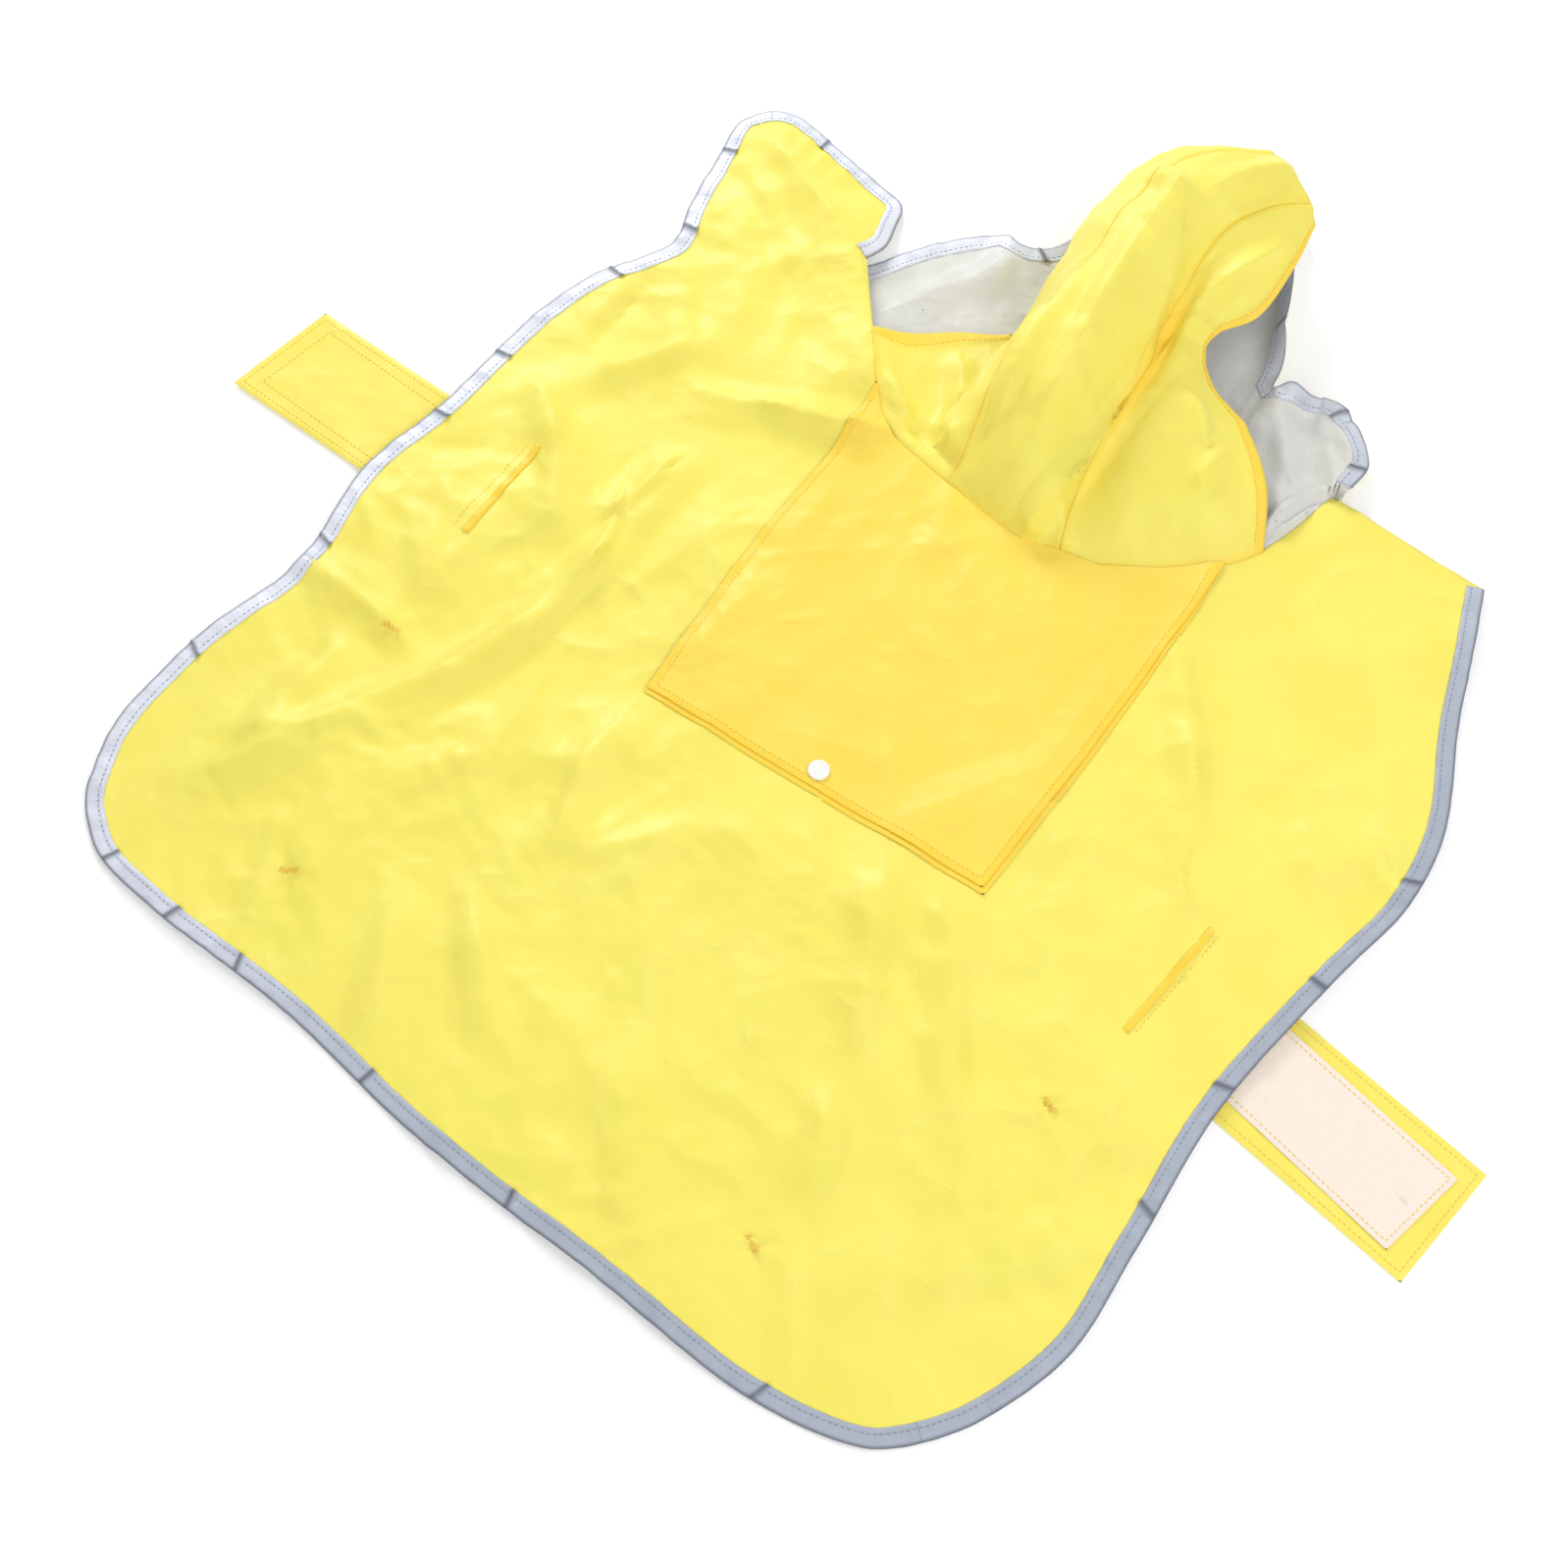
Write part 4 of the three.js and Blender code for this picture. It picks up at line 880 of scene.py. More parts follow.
def reflective_tape(name, colour, light):
    """Satin grey binding, painted paler toward the head and left as painted light and darker toward the
    tail as painted shade, with a fine rib across it and painted shade in its pinches and outer fold.
    """
    paint = Paint(name, {"IOR": 1.5, "Metallic": 0.1})
    across, up, _ = paint.axes((0, 0, 0))
    # Painted light and shade: paler toward the head and left, darker toward the tail and right
    toward = paint.between(up * 0.5 - across, -0.17, 0.28)
    worn = paint.noise(70.0, 3.0)
    turned_x, turned_y, _ = paint.axes((0, 0, 0.78))
    rib = 2 * np.pi / RIB
    weave = paint.maths("SINE", turned_x * rib) * paint.maths("SINE", turned_y * rib)
    paint.bumps(weave * 0.08 + worn * 0.6, 0.35 * MM)
    pinched = paint.add("ShaderNodeAttribute", {"attribute_name": "share"}, output="Fac")
    base = paint.mixed(toward, colour, light)
    base = paint.mixed(paint.between(worn, 0.5, 0.75) * 0.25, base, (0.25, 0.28, 0.34, 1))
    # Painted shade: near black in the folds of the pinches and along the tape's outer fold
    base = paint.mixed(pinched, base, (0.09, 0.1, 0.13, 1))
    paint.give(paint.shader, {"Base Color": base, "Roughness": 0.38 + 0.2 * worn})
    return paint.material


def napped_tape(name, colour, stain):
    """Soft loop tape: a nap of fine tangled fibres with a few pale brown marks."""
    paint = Paint(name, {"IOR": 1.4, "Sheen Weight": 0.3, "Sheen Roughness": 0.6})
    nap = paint.noise(900.0, 3.0)
    rows = paint.noise(210.0, 2.0)
    marks = paint.between(paint.noise(75.0, 2.0), 0.66, 0.74)
    base = paint.mixed(nap * 0.25 + marks * 0.4, colour, stain)
    paint.bumps(nap * 0.6 + rows * 0.4, 0.5 * MM)
    paint.give(paint.shader, {"Base Color": base, "Roughness": 0.85 + 0.1 * nap})
    return paint.material


def moulded_plastic(name, colour):
    """Glossy moulded plastic with slight flow unevenness."""
    paint = Paint(name, {"IOR": 1.5})
    flow = paint.noise(180.0, 2.0)
    paint.bumps(flow, 0.05 * MM)
    base = paint.mixed(flow * 0.15, colour, (0.75, 0.76, 0.74, 1))
    paint.give(paint.shader, {"Base Color": base, "Roughness": 0.25 + 0.1 * flow})
    return paint.material


def sewing_thread(name, colour):
    """Twisted thread: a fine diagonal rib on its own colour, with painted shade in the grooves of the
    twist.
    """
    paint = Paint(name, {"IOR": 1.45})
    across, up, _ = paint.axes((0, 0, 0.5))
    twist = paint.maths("SINE", (across + up) * (2 * np.pi / TWIST))
    paint.bumps(twist * 0.5 + 0.5, 0.06 * MM)
    shade = tuple(0.8 * c for c in colour[:3]) + (1,)
    # Painted shade: darker where the twist's relief is low
    base = paint.mixed(0.3 - 0.3 * twist, colour, shade)
    paint.give(paint.shader, {"Base Color": base, "Roughness": 0.6})
    return paint.material


def material(name):
    """The material of a name, made from the panel's colours when it is first asked for. Its title has
    a word in front, because the CAD's plain materials have the names of the slots."""
    title = "sewn_" + name
    if title in bpy.data.materials:
        return bpy.data.materials[title]
    colours = bpy.context.scene.raincoat_colours

    def rgba(key):
        return (*getattr(colours, key), 1)

    makers = {
        # The last colour of each coated cloth is its painted highlight on the crests of its crinkles
        "yellow_cloth": (coated_cloth, "yellow", "doubled", "shaded", "pale"),
        "pouch_cloth": (coated_cloth, "pouch", "doubled", "pouch_shaded", "yellow"),
        "tuck_cloth": (coated_cloth, "doubled", "thread", "pouch", "pouch"),
        "grey_lining": (grey_lining, "lining", "lining_dark"),
        "reflective_tape": (reflective_tape, "binding", "binding_painted_light"),
        "napped_tape": (napped_tape, "tape", "tape_stain"),
        "snap_plastic": (moulded_plastic, "snap"),
        "yellow_thread": (sewing_thread, "thread"),
        "grey_thread": (sewing_thread, "binding_thread"),
    }
    maker, *keys = makers[name]
    return maker(title, *[rgba(key) for key in keys])


def piece(name, mesh, finish, slot, nodes=(), inside=None, share=None):
    """A smooth mesh object from points and faces that rides on the coat and stands for its CAD nodes.
    Inside is the material of the second half of the faces, and share that of doubled cloth at each point,
    and of painted shade in the binding's pinches and outer fold and in the hood's valley."""
    points, faces = mesh
    data = bpy.data.meshes.new(name)
    data.from_pydata(points.tolist(), [], faces.tolist())
    data.validate()
    data.shade_smooth()
    data.materials.append(material(finish))
    if inside:
        data.materials.append(material(inside))
        lower = faces.min(1) >= len(points) // 2
        data.polygons.foreach_set("material_index", lower.astype(np.int32))
    if share is not None:
        layer = data.attributes.new("share", "FLOAT", "POINT")
        layer.data.foreach_set("value", share.astype(np.float32).ravel())
    made = bpy.data.objects.new(name, data)
    bpy.context.scene.collection.objects.link(made)
    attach(made, "root")
    if nodes:
        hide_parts(*nodes)
    return made


def stitch_mesh(centres, ahead, up, length, thick=0.3 * MM):
    """Stitches of one thread: short four-sided spindles, each along its own direction on the cloth."""
    along = np.array([-1, -0.75, 0, 0.75, 1]) * length / 2
    fat = np.array([0.1, 0.8, 1, 0.8, 0.1]) * thick
    side = np.cross(up, ahead)
    ahead = ahead / np.linalg.norm(ahead, axis=1, keepdims=True)
    side = side / np.linalg.norm(side, axis=1, keepdims=True)
    corners = np.array([(1, 0), (0, 1), (-1, 0), (0, -1)])
    rings = (centres[:, None, None] + along[None, :, None, None] * ahead[:, None, None]
             + fat[None, :, None, None] * (corners[:, 0][None, None, :, None] * side[:, None, None]
                                           + 0.8 * corners[:, 1][None, None, :, None] * up[:, None, None]))
    number = np.arange(20).reshape(5, 4)
    cells = cells_of(np.column_stack([number, number[:, 0]]))
    cells = np.concatenate([cells, number[:1, ::-1], number[-1:]])
    faces = (cells[None] + 20 * np.arange(len(centres))[:, None, None]).reshape(-1, 4)
    return turned_out(rings.reshape(-1, 3), faces)


def stitch_places(line):
    """The stitches along a line: the share of its run at each middle, and the points near both ends."""
    total = run_of(line)[-1]
    count = max(2, int(total / (STITCH + STITCH_GAP)))
    shares = (np.arange(count) + 0.5) / count
    half = 0.35 * STITCH / total
    return shares, at_shares(line, shares - half), at_shares(line, shares + half)


def stitch_row(line, top, curled=None):
    """A row of stitches along a line of places, laid on a height function and turned up with its hem."""
    shares, starts, ends = stitch_places(line)
    first = np.column_stack([starts, top(starts[:, 0], starts[:, 1])])
    second = np.column_stack([ends, top(ends[:, 0], ends[:, 1])])
    if curled:
        first, second = curled(first), curled(second)
    up = np.tile(UPWARD, (len(shares), 1))
    return stitch_mesh((first + second) / 2 + up * STITCH_LIFT, second - first, up, STITCH)


def bar_mesh(x, y, dx, dy, top):
    """A thread bar: stitches that run to and fro across a short length of cloth."""
    run = np.linspace(-0.5, 0.5, BAR_STITCHES + 1) * BAR_LENGTH
    side = 0.5 * BAR_WIDTH * np.where(np.arange(BAR_STITCHES + 1) % 2, 1, -1)
    px, py = x * MM + run * dx - side * dy, y * MM + run * dy + side * dx
    spots = np.column_stack([px, py, top(px, py) + BAR_LIFT])
    up = np.tile(UPWARD, (BAR_STITCHES, 1))
    return stitch_mesh((spots[1:] + spots[:-1]) / 2, np.diff(spots, axis=0), up, BAR_STITCH, BAR_THREAD)


def raised(top, lift):
    """A height function moved up."""
    return lambda x, y: top(x, y) + lift


def inset_line(corners, inset):
    """The closed outline of a four-cornered piece, moved in from its sides."""
    a, b, c, d = corners
    centre = corners.mean(0)
    size = np.linalg.norm(b - a) / 2, np.linalg.norm(d - a) / 2
    moved = []
    for corner in (a, b, c, d):
        along, up = (b - a) / (2 * size[0]), (d - a) / (2 * size[1])
        offset = corner - centre
        moved.append(corner - inset * (np.sign(offset @ along) * along + np.sign(offset @ up) * up))
    return np.array(moved + moved[:1])


def strap_top(base, seed):
    """Height of a strap's upper face: nearly level, with slight waves."""
    def top(x, y):
        return base + 0.25 * MM * noise(x, y, 24 * MM, seed) + 0.12 * MM * noise(x, y, 9 * MM, seed + 1)
    return top


def pouch_top(level):
    """Height of a layer of the pouch: so many steps above the back's outer face, each step a little
    higher where the pouch has creases and crumpling of its own."""
    def top(x, y):
        own = crease_heights(x, y, POUCH_CREASES) + crumple(x, y, POUCH_CRUMPLE, 100)
        return back_heights(x, y) + level * (POUCH_STEP + 0.5 * np.maximum(own, -0.2 * MM))
    return top


class RaincoatSizes(bpy.types.PropertyGroup):
    """Sizes that a maker would change."""

    binding_width: bpy.props.FloatProperty(
        name="Binding width", description="Width of the folded tape on each face of the cloth",
        default=10 * MM, unit="LENGTH", precision=4)
    binding_tape: bpy.props.FloatProperty(
        name="Binding thickness", description="Thickness of one layer of the binding with its slack",
        default=0.45 * MM, unit="LENGTH", precision=5)
    stitch_inset: bpy.props.FloatProperty(
        name="Binding stitches", description="From the inner edge of the binding to its stitches",
        default=3 * MM, unit="LENGTH", precision=4)
    strap_thickness: bpy.props.FloatProperty(
        name="Strap thickness", description="Thickness of a belly strap",
        default=1.2 * MM, unit="LENGTH", precision=4)
    snap_radius: bpy.props.FloatProperty(
        name="Snap radius", description="Radius of the snap's cap",
        default=6 * MM, unit="LENGTH", precision=4)
    grid_across: bpy.props.IntProperty(
        name="Cells across", description="Cells across the back panel", default=216)
    grid_up: bpy.props.IntProperty(name="Cells up", description="Cells up the back panel", default=196)


def colour_property(name, description, value):
    """A colour that can be changed in the panel."""
    return bpy.props.FloatVectorProperty(
        name=name, description=description, default=value, subtype="COLOR", size=3, min=0, max=1)


class RaincoatColours(bpy.types.PropertyGroup):
    """Colours of the cloths, tapes, thread and snap."""

    yellow: colour_property("Yellow", "Outer side of the coat", (0.89, 0.785, 0.13))
    shaded: colour_property("Yellow, clouded", "Darker clouds of the outer side", (0.82, 0.73, 0.1))
    # Painted highlight on the crests of the outer side's crinkles
    pale: colour_property("Yellow, pale", "Crests of the outer side", (0.93, 0.84, 0.19))
    pouch: colour_property("Pouch", "Layers of the pouch over the back", (0.94, 0.7, 0.09))
    pouch_shaded: colour_property("Pouch, clouded", "Darker clouds of the pouch", (0.91, 0.655, 0.075))
    # Also the colour of the painted shade in the hood's valley
    doubled: colour_property("Doubled cloth", "Hems and seams of several layers", (0.95, 0.62, 0.03))
    thread: colour_property("Yellow thread", "Stitches on the yellow cloth", (0.98, 0.68, 0.12))
    lining: colour_property("Lining", "Grey coated inside", (0.69, 0.69, 0.655))
    lining_dark: colour_property("Lining, clouded", "Darker clouds of the inside", (0.55, 0.55, 0.51))
    # Painted light and shade of the binding: its own grey toward the tail, paler toward the head
    binding: colour_property("Binding", "Reflective tape toward the tail", (0.38, 0.42, 0.5))
    binding_painted_light: colour_property("Binding, light", "Reflective tape toward the head", (0.72, 0.75, 0.84))
    binding_thread: colour_property("Grey thread", "Stitches on the binding", (0.3, 0.33, 0.4))
    tape: colour_property("Loop tape", "Nap of the hook and loop tape", (0.9, 0.8, 0.7))
    tape_stain: colour_property("Loop tape marks", "Handling marks on the tape", (0.7, 0.52, 0.38))
    snap: colour_property("Snap", "Moulded cap of the snap", (0.9, 0.9, 0.88))
    floor: colour_property("Floor", "Pale floor under the coat", (0.93, 0.93, 0.93))


PANELS = {}


def panel_of(name):
    """The back or chest panel, worked out once."""
    if name not in PANELS:
        made = {"back": (BACK_SIDES, back_heights, BACK_PINCHES, (0, 1, 7, 8), (), 20),
                "chest": (CHEST_SIDES, chest_heights, CHEST_PINCHES, (), CHEST_CURLS, 50)}
        PANELS[name] = Panel(*made[name])
    return PANELS[name]


class RAINCOAT_OT_back(bpy.types.Operator):
    """Makes the back panel with its shoulder flap, and the piece folded under the right shoulder"""

    bl_idname = "raincoat.back"
    bl_label = "Back panel"

    def execute(self, context):
        sizes = context.scene.raincoat_sizes
        panel = panel_of("back")
        flat = panel.grid(sizes.grid_across, sizes.grid_up, GRID_ROUNDS)
        top = panel.cloth_top(flat[..., 0], flat[..., 1])
        mesh = shell(np.dstack([flat, top]), np.dstack([flat, top - FINE]))
        back = piece("back_cloth", mesh, "yellow_cloth", "yellow_cloth", ["back_panel"], "grey_lining",
                     np.zeros(2 * top.size))
        sides = [side_of(rows, 40) for rows in (FACING_BOTTOM, FACING_RIGHT, FACING_TOP, FACING_LEFT)]
        facing_flat = patch(*sides)
        facing_top = np.full(facing_flat.shape[:2], FACING_TOP_HEIGHT)
        facing_mesh = rounded(facing_flat, facing_top, FINE, 0.5 * MM)
        facing = piece("shoulder_facing_cloth", facing_mesh, "grey_lining", "grey_inside",
                       ["shoulder_facing"])
        return {"FINISHED"}


class RAINCOAT_OT_bindings(bpy.types.Operator):
    """Makes the reflective binding round the back panel and the chest panel, with its stitches"""

    bl_idname = "raincoat.bindings"
    bl_label = "Bindings"

    def execute(self, context):
        sizes = context.scene.raincoat_sizes
        back, chest = panel_of("back"), panel_of("chest")
        runs = [("tail_binding", back, 0, 1, "binding_tail"),
                ("right_binding", back, 1, 2, "binding_right"),
                ("flap_binding", back, 6, 8, "binding_flap"),
                ("left_binding", back, 8, 9, "binding_left"),
                ("tab_binding", chest, 2, 3, "binding_chest_tab"),
                ("hem_binding", chest, 3, 4, "binding_chest")]
        threads = []
        for name, panel, first, last, node in runs:
            start, end = panel.starts[first], panel.starts[last]
            mesh, share = binding_mesh(panel, start, end, sizes)
            piece(name, mesh, "reflective_tape", "binding", [node], share=share)
            ring = np.arange(start, end + 1) % len(panel.line)
            inset = sizes.binding_width - sizes.stitch_inset
            line = panel.line[ring] + inset * panel.inward[ring]
            top = raised(panel.top, 0.55 * sizes.binding_tape)
            threads.append(stitch_row(line, top, curled=panel.curled))
        piece("binding_stitches", joined(threads), "grey_thread", "binding")
        return {"FINISHED"}


class RAINCOAT_OT_chest(bpy.types.Operator):
    """Makes the chest panel, which lies under the hood with its grey inside up"""

    bl_idname = "raincoat.chest"
    bl_label = "Chest panel"

    def execute(self, context):
        panel = panel_of("chest")
        flat = panel.grid(150, 90)
        skin = panel.curled(np.dstack([flat, panel.cloth_top(flat[..., 0], flat[..., 1])]))
        mesh = shell(skin, skin - (0, 0, FINE))
        chest = piece("chest_cloth", mesh, "grey_lining", "grey_inside", ["chest_panel"], "yellow_cloth")
        return {"FINISHED"}


class RAINCOAT_OT_pouch(bpy.types.Operator):
    """Makes the two layers of the pouch, their stitches and the snap that closes them"""

    bl_idname = "raincoat.pouch"
    bl_label = "Pouch and snap"

    def execute(self, context):
        sizes = context.scene.raincoat_sizes
        lower = (LOWER_BOTTOM, LOWER_RIGHT, POUCH_TOP, LOWER_LEFT)
        upper = (POUCH_BOTTOM, POUCH_RIGHT, POUCH_TOP, POUCH_LEFT)
        for name, level, sides, node in (("pouch_under_cloth", 1, lower, "pouch_lower"),
                                         ("pouch_cloth_top", 2, upper, "pouch_upper")):
            flat = patch(*[side_of(rows, cells) for rows, cells in zip(sides, (130, 170, 130, 170))])
            top = pouch_top(level)(flat[..., 0], flat[..., 1])
            mesh = rounded(flat, top, POUCH_THICKNESS, 1.2 * MM)
            rim = np.concatenate([flat[0], flat[:, 0], flat[:, -1]])
            away, _ = nearest(flat[..., 0], flat[..., 1], rim)
            hem = np.tile(0.55 * half_wave((away - 3 * MM) / (2 * MM)).ravel(), 2)
            layer = piece(name, mesh, "pouch_cloth", "pouch_cloth", [node], share=hem)
        left = POUCH_LEFT + (POUCH_INSET, POUCH_INSET)
        right = POUCH_RIGHT + (-POUCH_INSET, POUCH_INSET)
        bottom = np.array([left[0], right[0]])
        left[-1, 1] -= 3.5 * POUCH_INSET
        right[-1, 1] -= 3.5 * POUCH_INSET
        top = raised(pouch_top(2), 0.02 * MM)
        rows = [stitch_row(side_of(line, 60), top) for line in (left, right, bottom)]
        piece("pouch_stitches", joined(rows), "yellow_thread", "pouch_cloth")
        base = float(pouch_top(2)(*(np.array([value]) for value in SNAP_PLACE))[0])
        piece("snap_button", snap_mesh(sizes.snap_radius, base), "snap_plastic", "snap_plastic",
              ["snap_cap"])
        return {"FINISHED"}


def snap_mesh(radius, base):
    """The cap of a snap: a profile of a rim, a groove and a shallow dome turned about an upright axis."""
    share = np.array([0.02, 0.3, 0.52, 0.6, 0.68, 0.8, 0.92, 1.0, 1.0, 0.9, 0.02])
    height = np.array([1.0, 1.02, 1.0, 0.82, 0.95, 1.12, 1.05, 0.75, 0.1, 0.0, 0.0]) * 1.5 * MM
    turn = np.linspace(0, 2 * np.pi, 48, endpoint=False)
    reach = radius * share
    x = SNAP_PLACE[0] + reach[:, None] * np.cos(turn)
    y = SNAP_PLACE[1] + reach[:, None] * np.sin(turn)
    z = np.repeat((base + height)[:, None], len(turn), 1)
    return tube(np.dstack([x, y, z]))


class RAINCOAT_OT_straps(bpy.types.Operator):
    """Makes the belly straps, their hook and loop tapes, the tucks over them and the stitches"""

    bl_idname = "raincoat.straps"
    bl_label = "Straps"

    def execute(self, context):
        thickness = context.scene.raincoat_sizes.strap_thickness
        left, right = strap_top(LEFT_STRAP_TOP, 1), strap_top(RIGHT_STRAP_TOP, 5)
        hooks, loop = strap_top(HOOK_TOP, 3), strap_top(LOOP_TOP, 7)
        cloth, tape = ("yellow_cloth", "yellow_cloth"), ("napped_tape", "tape")
        flats = [("left_strap_cloth", LEFT_STRAP, left, thickness, *cloth, "strap_left"),
                 ("hook_strip", LEFT_HOOKS, hooks, HOOK_THICKNESS, *tape, "hook_tape"),
                 ("right_strap_cloth", RIGHT_STRAP, right, thickness, *cloth, "strap_right"),
                 ("loop_strip", RIGHT_LOOPS, loop, LOOP_THICKNESS, *tape, "loop_tape")]
        for name, corners, top, thick, finish, slot, node in flats:
            flat = patch(*four_sides(corners, 110, 56))
            mesh = rounded(flat, top(flat[..., 0], flat[..., 1]), thick, 1.4 * MM)
            doubled = np.full(2 * flat.shape[0] * flat.shape[1], 0.12)
            made = piece(name, mesh, finish, slot, [node], share=doubled)
            width, length = np.linalg.norm(corners[1] - corners[0]), np.linalg.norm(corners[3] - corners[0])
        rows = [stitch_row(inset_line(LEFT_STRAP, 4 * MM), left),
                stitch_row(inset_line(LEFT_HOOKS, -1 * MM), left),
                stitch_row(inset_line(RIGHT_LOOPS, 3 * MM), loop),
                stitch_row(inset_line(RIGHT_STRAP, 3.5 * MM), right)]
        piece("strap_stitches", joined(rows), "yellow_thread", "yellow_cloth")
        back = panel_of("back")
        for name, corners, node in (("left_tuck_cloth", LEFT_TUCK, "tuck_left"),
                                    ("right_tuck_cloth", RIGHT_TUCK, "tuck_right")):
            flat = patch(*four_sides(corners, 10, 60))
            ripple = 0.35 * MM * noise(flat[..., 0], flat[..., 1], 7 * MM, 9)
            top = back.top(flat[..., 0], flat[..., 1]) + TUCK_LIFT + ripple
            mesh = rounded(flat, top, TUCK_THICKNESS, 1.5 * MM)
            made = piece(name, mesh, "tuck_cloth", "pouch_cloth", [node])
        tuck_line = table((-246, 42), (-252, 114))
        short_line = table((224, 34), (227, 104))
        threads = [stitch_row(line, back.top) for line in (tuck_line, short_line)]
        threads += [bar_mesh(*bar, back.top) for bar in BARS]
        piece("tuck_stitches", joined(threads), "yellow_thread", "yellow_cloth")
        return {"FINISHED"}


class RAINCOAT_OT_hood(bpy.types.Operator):
    """Makes the three panels of the hood, their hems, seams and stitches"""

    bl_idname = "raincoat.hood"
    bl_label = "Hood"

    def execute(self, context):
        v = np.linspace(0, 1, HOOD_ROWS + 1)
        u = np.linspace(0, 1, 3 * HOOD_COLUMNS + 1)
        outer, square = hood_outer(u, v)
        width = np.linalg.norm(np.diff(outer, axis=1), axis=2).sum(1)[:, None]
        hem = np.minimum(u, 1 - u)[None] * width
        seam = np.minimum(np.abs(u - 1 / 3), np.abs(u - 2 / 3))[None] * width
        doubled = np.maximum(0.7 * half_wave((hem - 6 * MM) / (2 * MM)), 0.3 * half_wave(seam / (7 * MM)))
        doubled = np.maximum(doubled, 0.5 * half_wave((v / 0.03))[:, None])
        # Painted shade: the valley beside the hood's right seam is painted deeper yellow
        doubled = np.maximum(doubled, 0.8 * deep_valley(u, v, width))
        panels = [("hood_left_cloth", 0, "hood_left", (0.28, 0.1), 0.018),
                  ("hood_middle_cloth", 1, "hood_middle", (0.3, 0.09), 0.02),
                  ("hood_right_cloth", 2, "hood_right", (0.29, 0.12), 0.017)]
        for name, part, node, flat, area in panels:
            cut = slice(part * HOOD_COLUMNS, (part + 1) * HOOD_COLUMNS + 1)
            skin = outer[:, cut]
            mesh = shell(skin, skin - FINE * square[:, cut])
            share = np.tile(doubled[:, cut].ravel(), 2)
            made = piece(name, mesh, "yellow_cloth", "yellow_cloth", [node], "grey_lining", share)
        rows = []
        for turned in (False, True):
            line, up = outer_line(outer, square, width, turned)
            rows.append(stitches_in_space(line, up))
        piece("hood_stitches", joined(rows), "yellow_thread", "yellow_cloth")
        return {"FINISHED"}


def outer_line(outer, square, width, turned):
    """The line of stitches up the hood beside its left hem, or its right one if turned, with the
    direction square to the cloth."""
    columns = outer.shape[1] - 1
    share = np.clip(HEM_INSET / width[:, 0], 0, 1)
    place = (1 - share if turned else share) * columns
    i = np.minimum(place.astype(int), columns - 1)
    t = (place - i)[:, None]
    rows = np.arange(len(outer))
    return (outer[rows, i] * (1 - t) + outer[rows, i + 1] * t)[4:], square[rows, i][4:]


def stitches_in_space(line, up):
    """A row of stitches along a line in space that has a direction square to it at each point."""
    shares, starts, ends = stitch_places(line)
    run = run_of(line)
    square = np.column_stack([np.interp(shares, run / run[-1], column) for column in up.T])
    return stitch_mesh((starts + ends) / 2 + STITCH_LIFT * square, ends - starts, square, STITCH)


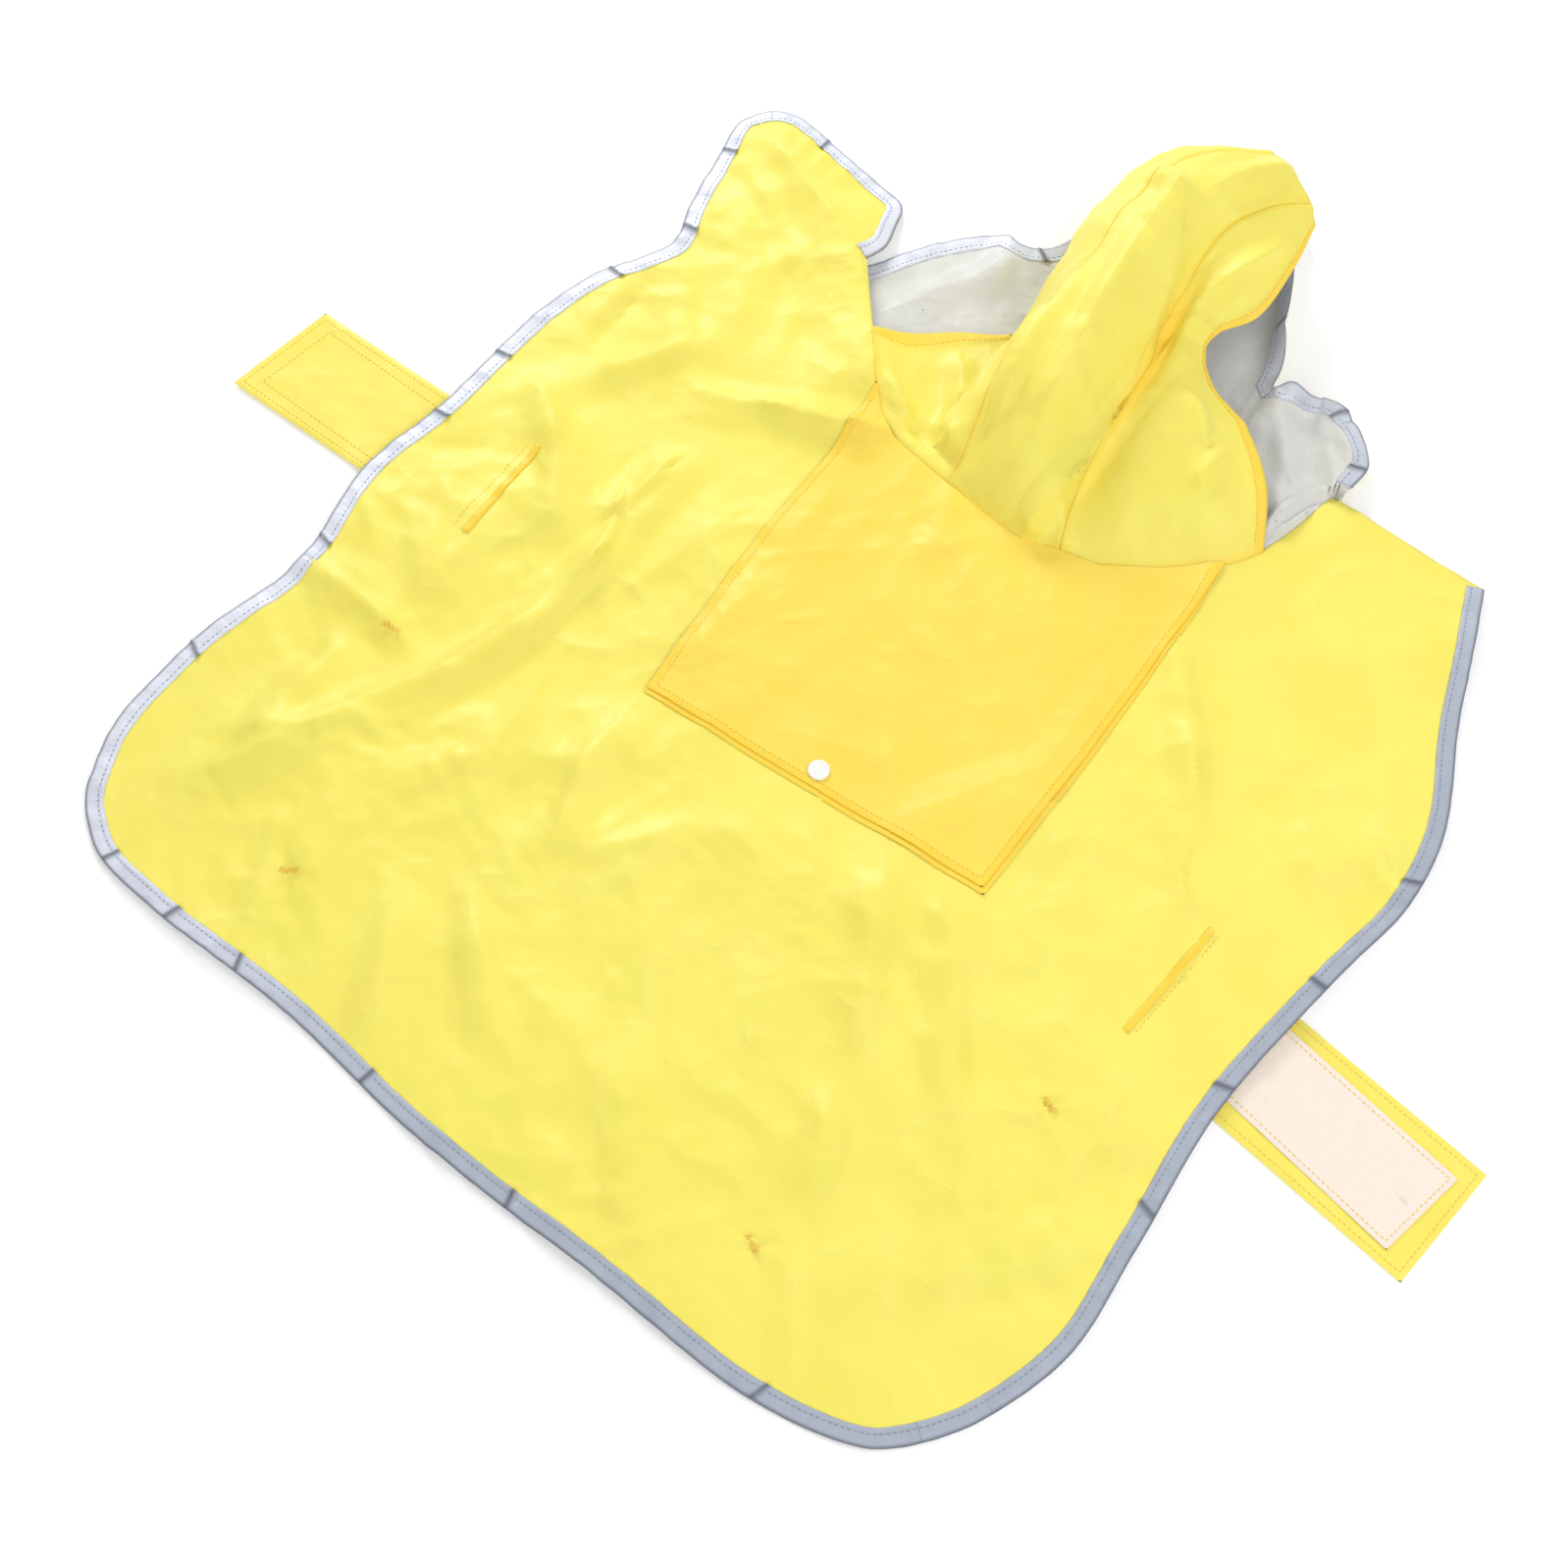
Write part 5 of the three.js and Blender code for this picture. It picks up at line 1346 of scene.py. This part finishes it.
class RAINCOAT_OT_stage(bpy.types.Operator):
    """Makes the pale floor, the soft studio lights and the camera at the photograph's angle"""

    bl_idname = "raincoat.stage"
    bl_label = "Stage"

    def execute(self, context):
        scene = context.scene
        corners = FLOOR_HALF * np.array([(-1, -1), (1, -1), (1, 1), (-1, 1)])
        points = np.column_stack([corners, np.full(4, FLOOR_TOP)])
        data = bpy.data.meshes.new("floor")
        data.from_pydata(points.tolist(), [], [(0, 1, 2, 3)])
        glow = {"Emission Color": (1, 1, 1, 1), "Emission Strength": 0.14}
        paint = Paint("pale_floor", {"Roughness": 0.9, **glow})
        colour = (*scene.raincoat_colours.floor, 1)
        paint.give(paint.shader, {"Base Color": paint.mixed(paint.noise(3.0) * 0.05, colour, (1, 1, 1, 1))})
        data.materials.append(paint.material)
        floor = bpy.data.objects.new("floor", data)
        scene.collection.objects.link(floor)
        target = Vector(CAMERA_TARGET)
        camera = bpy.data.objects.new("camera", bpy.data.cameras.new("camera"))
        camera.location = CAMERA_PLACE
        camera.data.lens = CAMERA_LENS
        camera.data.sensor_width = CAMERA_SENSOR
        camera.rotation_euler = (target - camera.location).to_track_quat("-Z", "Y").to_euler()
        scene.collection.objects.link(camera)
        scene.camera = camera
        for name, place, size, power in LIGHTS:
            lamp = bpy.data.lights.new(name, "AREA")
            lamp.size = size
            lamp.energy = power
            made = bpy.data.objects.new(name, lamp)
            made.location = place
            made.rotation_euler = (target - made.location).to_track_quat("-Z", "Y").to_euler()
            scene.collection.objects.link(made)
        world = bpy.data.worlds.new("studio")
        world.use_nodes = True
        sky = world.node_tree.nodes["Background"].inputs
        sky["Color"].default_value = (1, 1, 1, 1)
        sky["Strength"].default_value = SKY_STRENGTH
        scene.world = world
        scene.view_settings.view_transform = "Standard"
        return {"FINISHED"}


STEPS = (RAINCOAT_OT_back, RAINCOAT_OT_bindings, RAINCOAT_OT_chest, RAINCOAT_OT_pouch, RAINCOAT_OT_straps,
         RAINCOAT_OT_hood, RAINCOAT_OT_stage)


class RAINCOAT_PT_panel(bpy.types.Panel):
    """Sizes, colours and the steps that sew the coat."""

    bl_idname = "RAINCOAT_PT_panel"
    bl_label = "Raincoat"
    bl_space_type = "VIEW_3D"
    bl_region_type = "UI"
    bl_category = "Raincoat"

    def draw(self, context):
        for group in (context.scene.raincoat_sizes, context.scene.raincoat_colours):
            for name in group.bl_rna.properties.keys():
                if name not in ("rna_type", "name"):
                    self.layout.prop(group, name)
        for step in STEPS:
            self.layout.operator(step.bl_idname)


CLASSES = (RaincoatSizes, RaincoatColours, *STEPS, RAINCOAT_PT_panel)


def register():
    """Registers the classes and gives the scene its sizes and colours."""
    for made in CLASSES:
        bpy.utils.register_class(made)
    bpy.types.Scene.raincoat_sizes = bpy.props.PointerProperty(type=RaincoatSizes)
    bpy.types.Scene.raincoat_colours = bpy.props.PointerProperty(type=RaincoatColours)


def unregister():
    """Takes the classes and the scene's groups away again."""
    del bpy.types.Scene.raincoat_colours
    del bpy.types.Scene.raincoat_sizes
    for made in reversed(CLASSES):
        bpy.utils.unregister_class(made)


def main():
    """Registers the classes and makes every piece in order."""
    register()
    bpy.ops.raincoat.back()
    bpy.ops.raincoat.bindings()
    bpy.ops.raincoat.chest()
    bpy.ops.raincoat.pouch()
    bpy.ops.raincoat.straps()
    bpy.ops.raincoat.hood()
    bpy.ops.raincoat.stage()


if __name__ == "__main__":
    main()
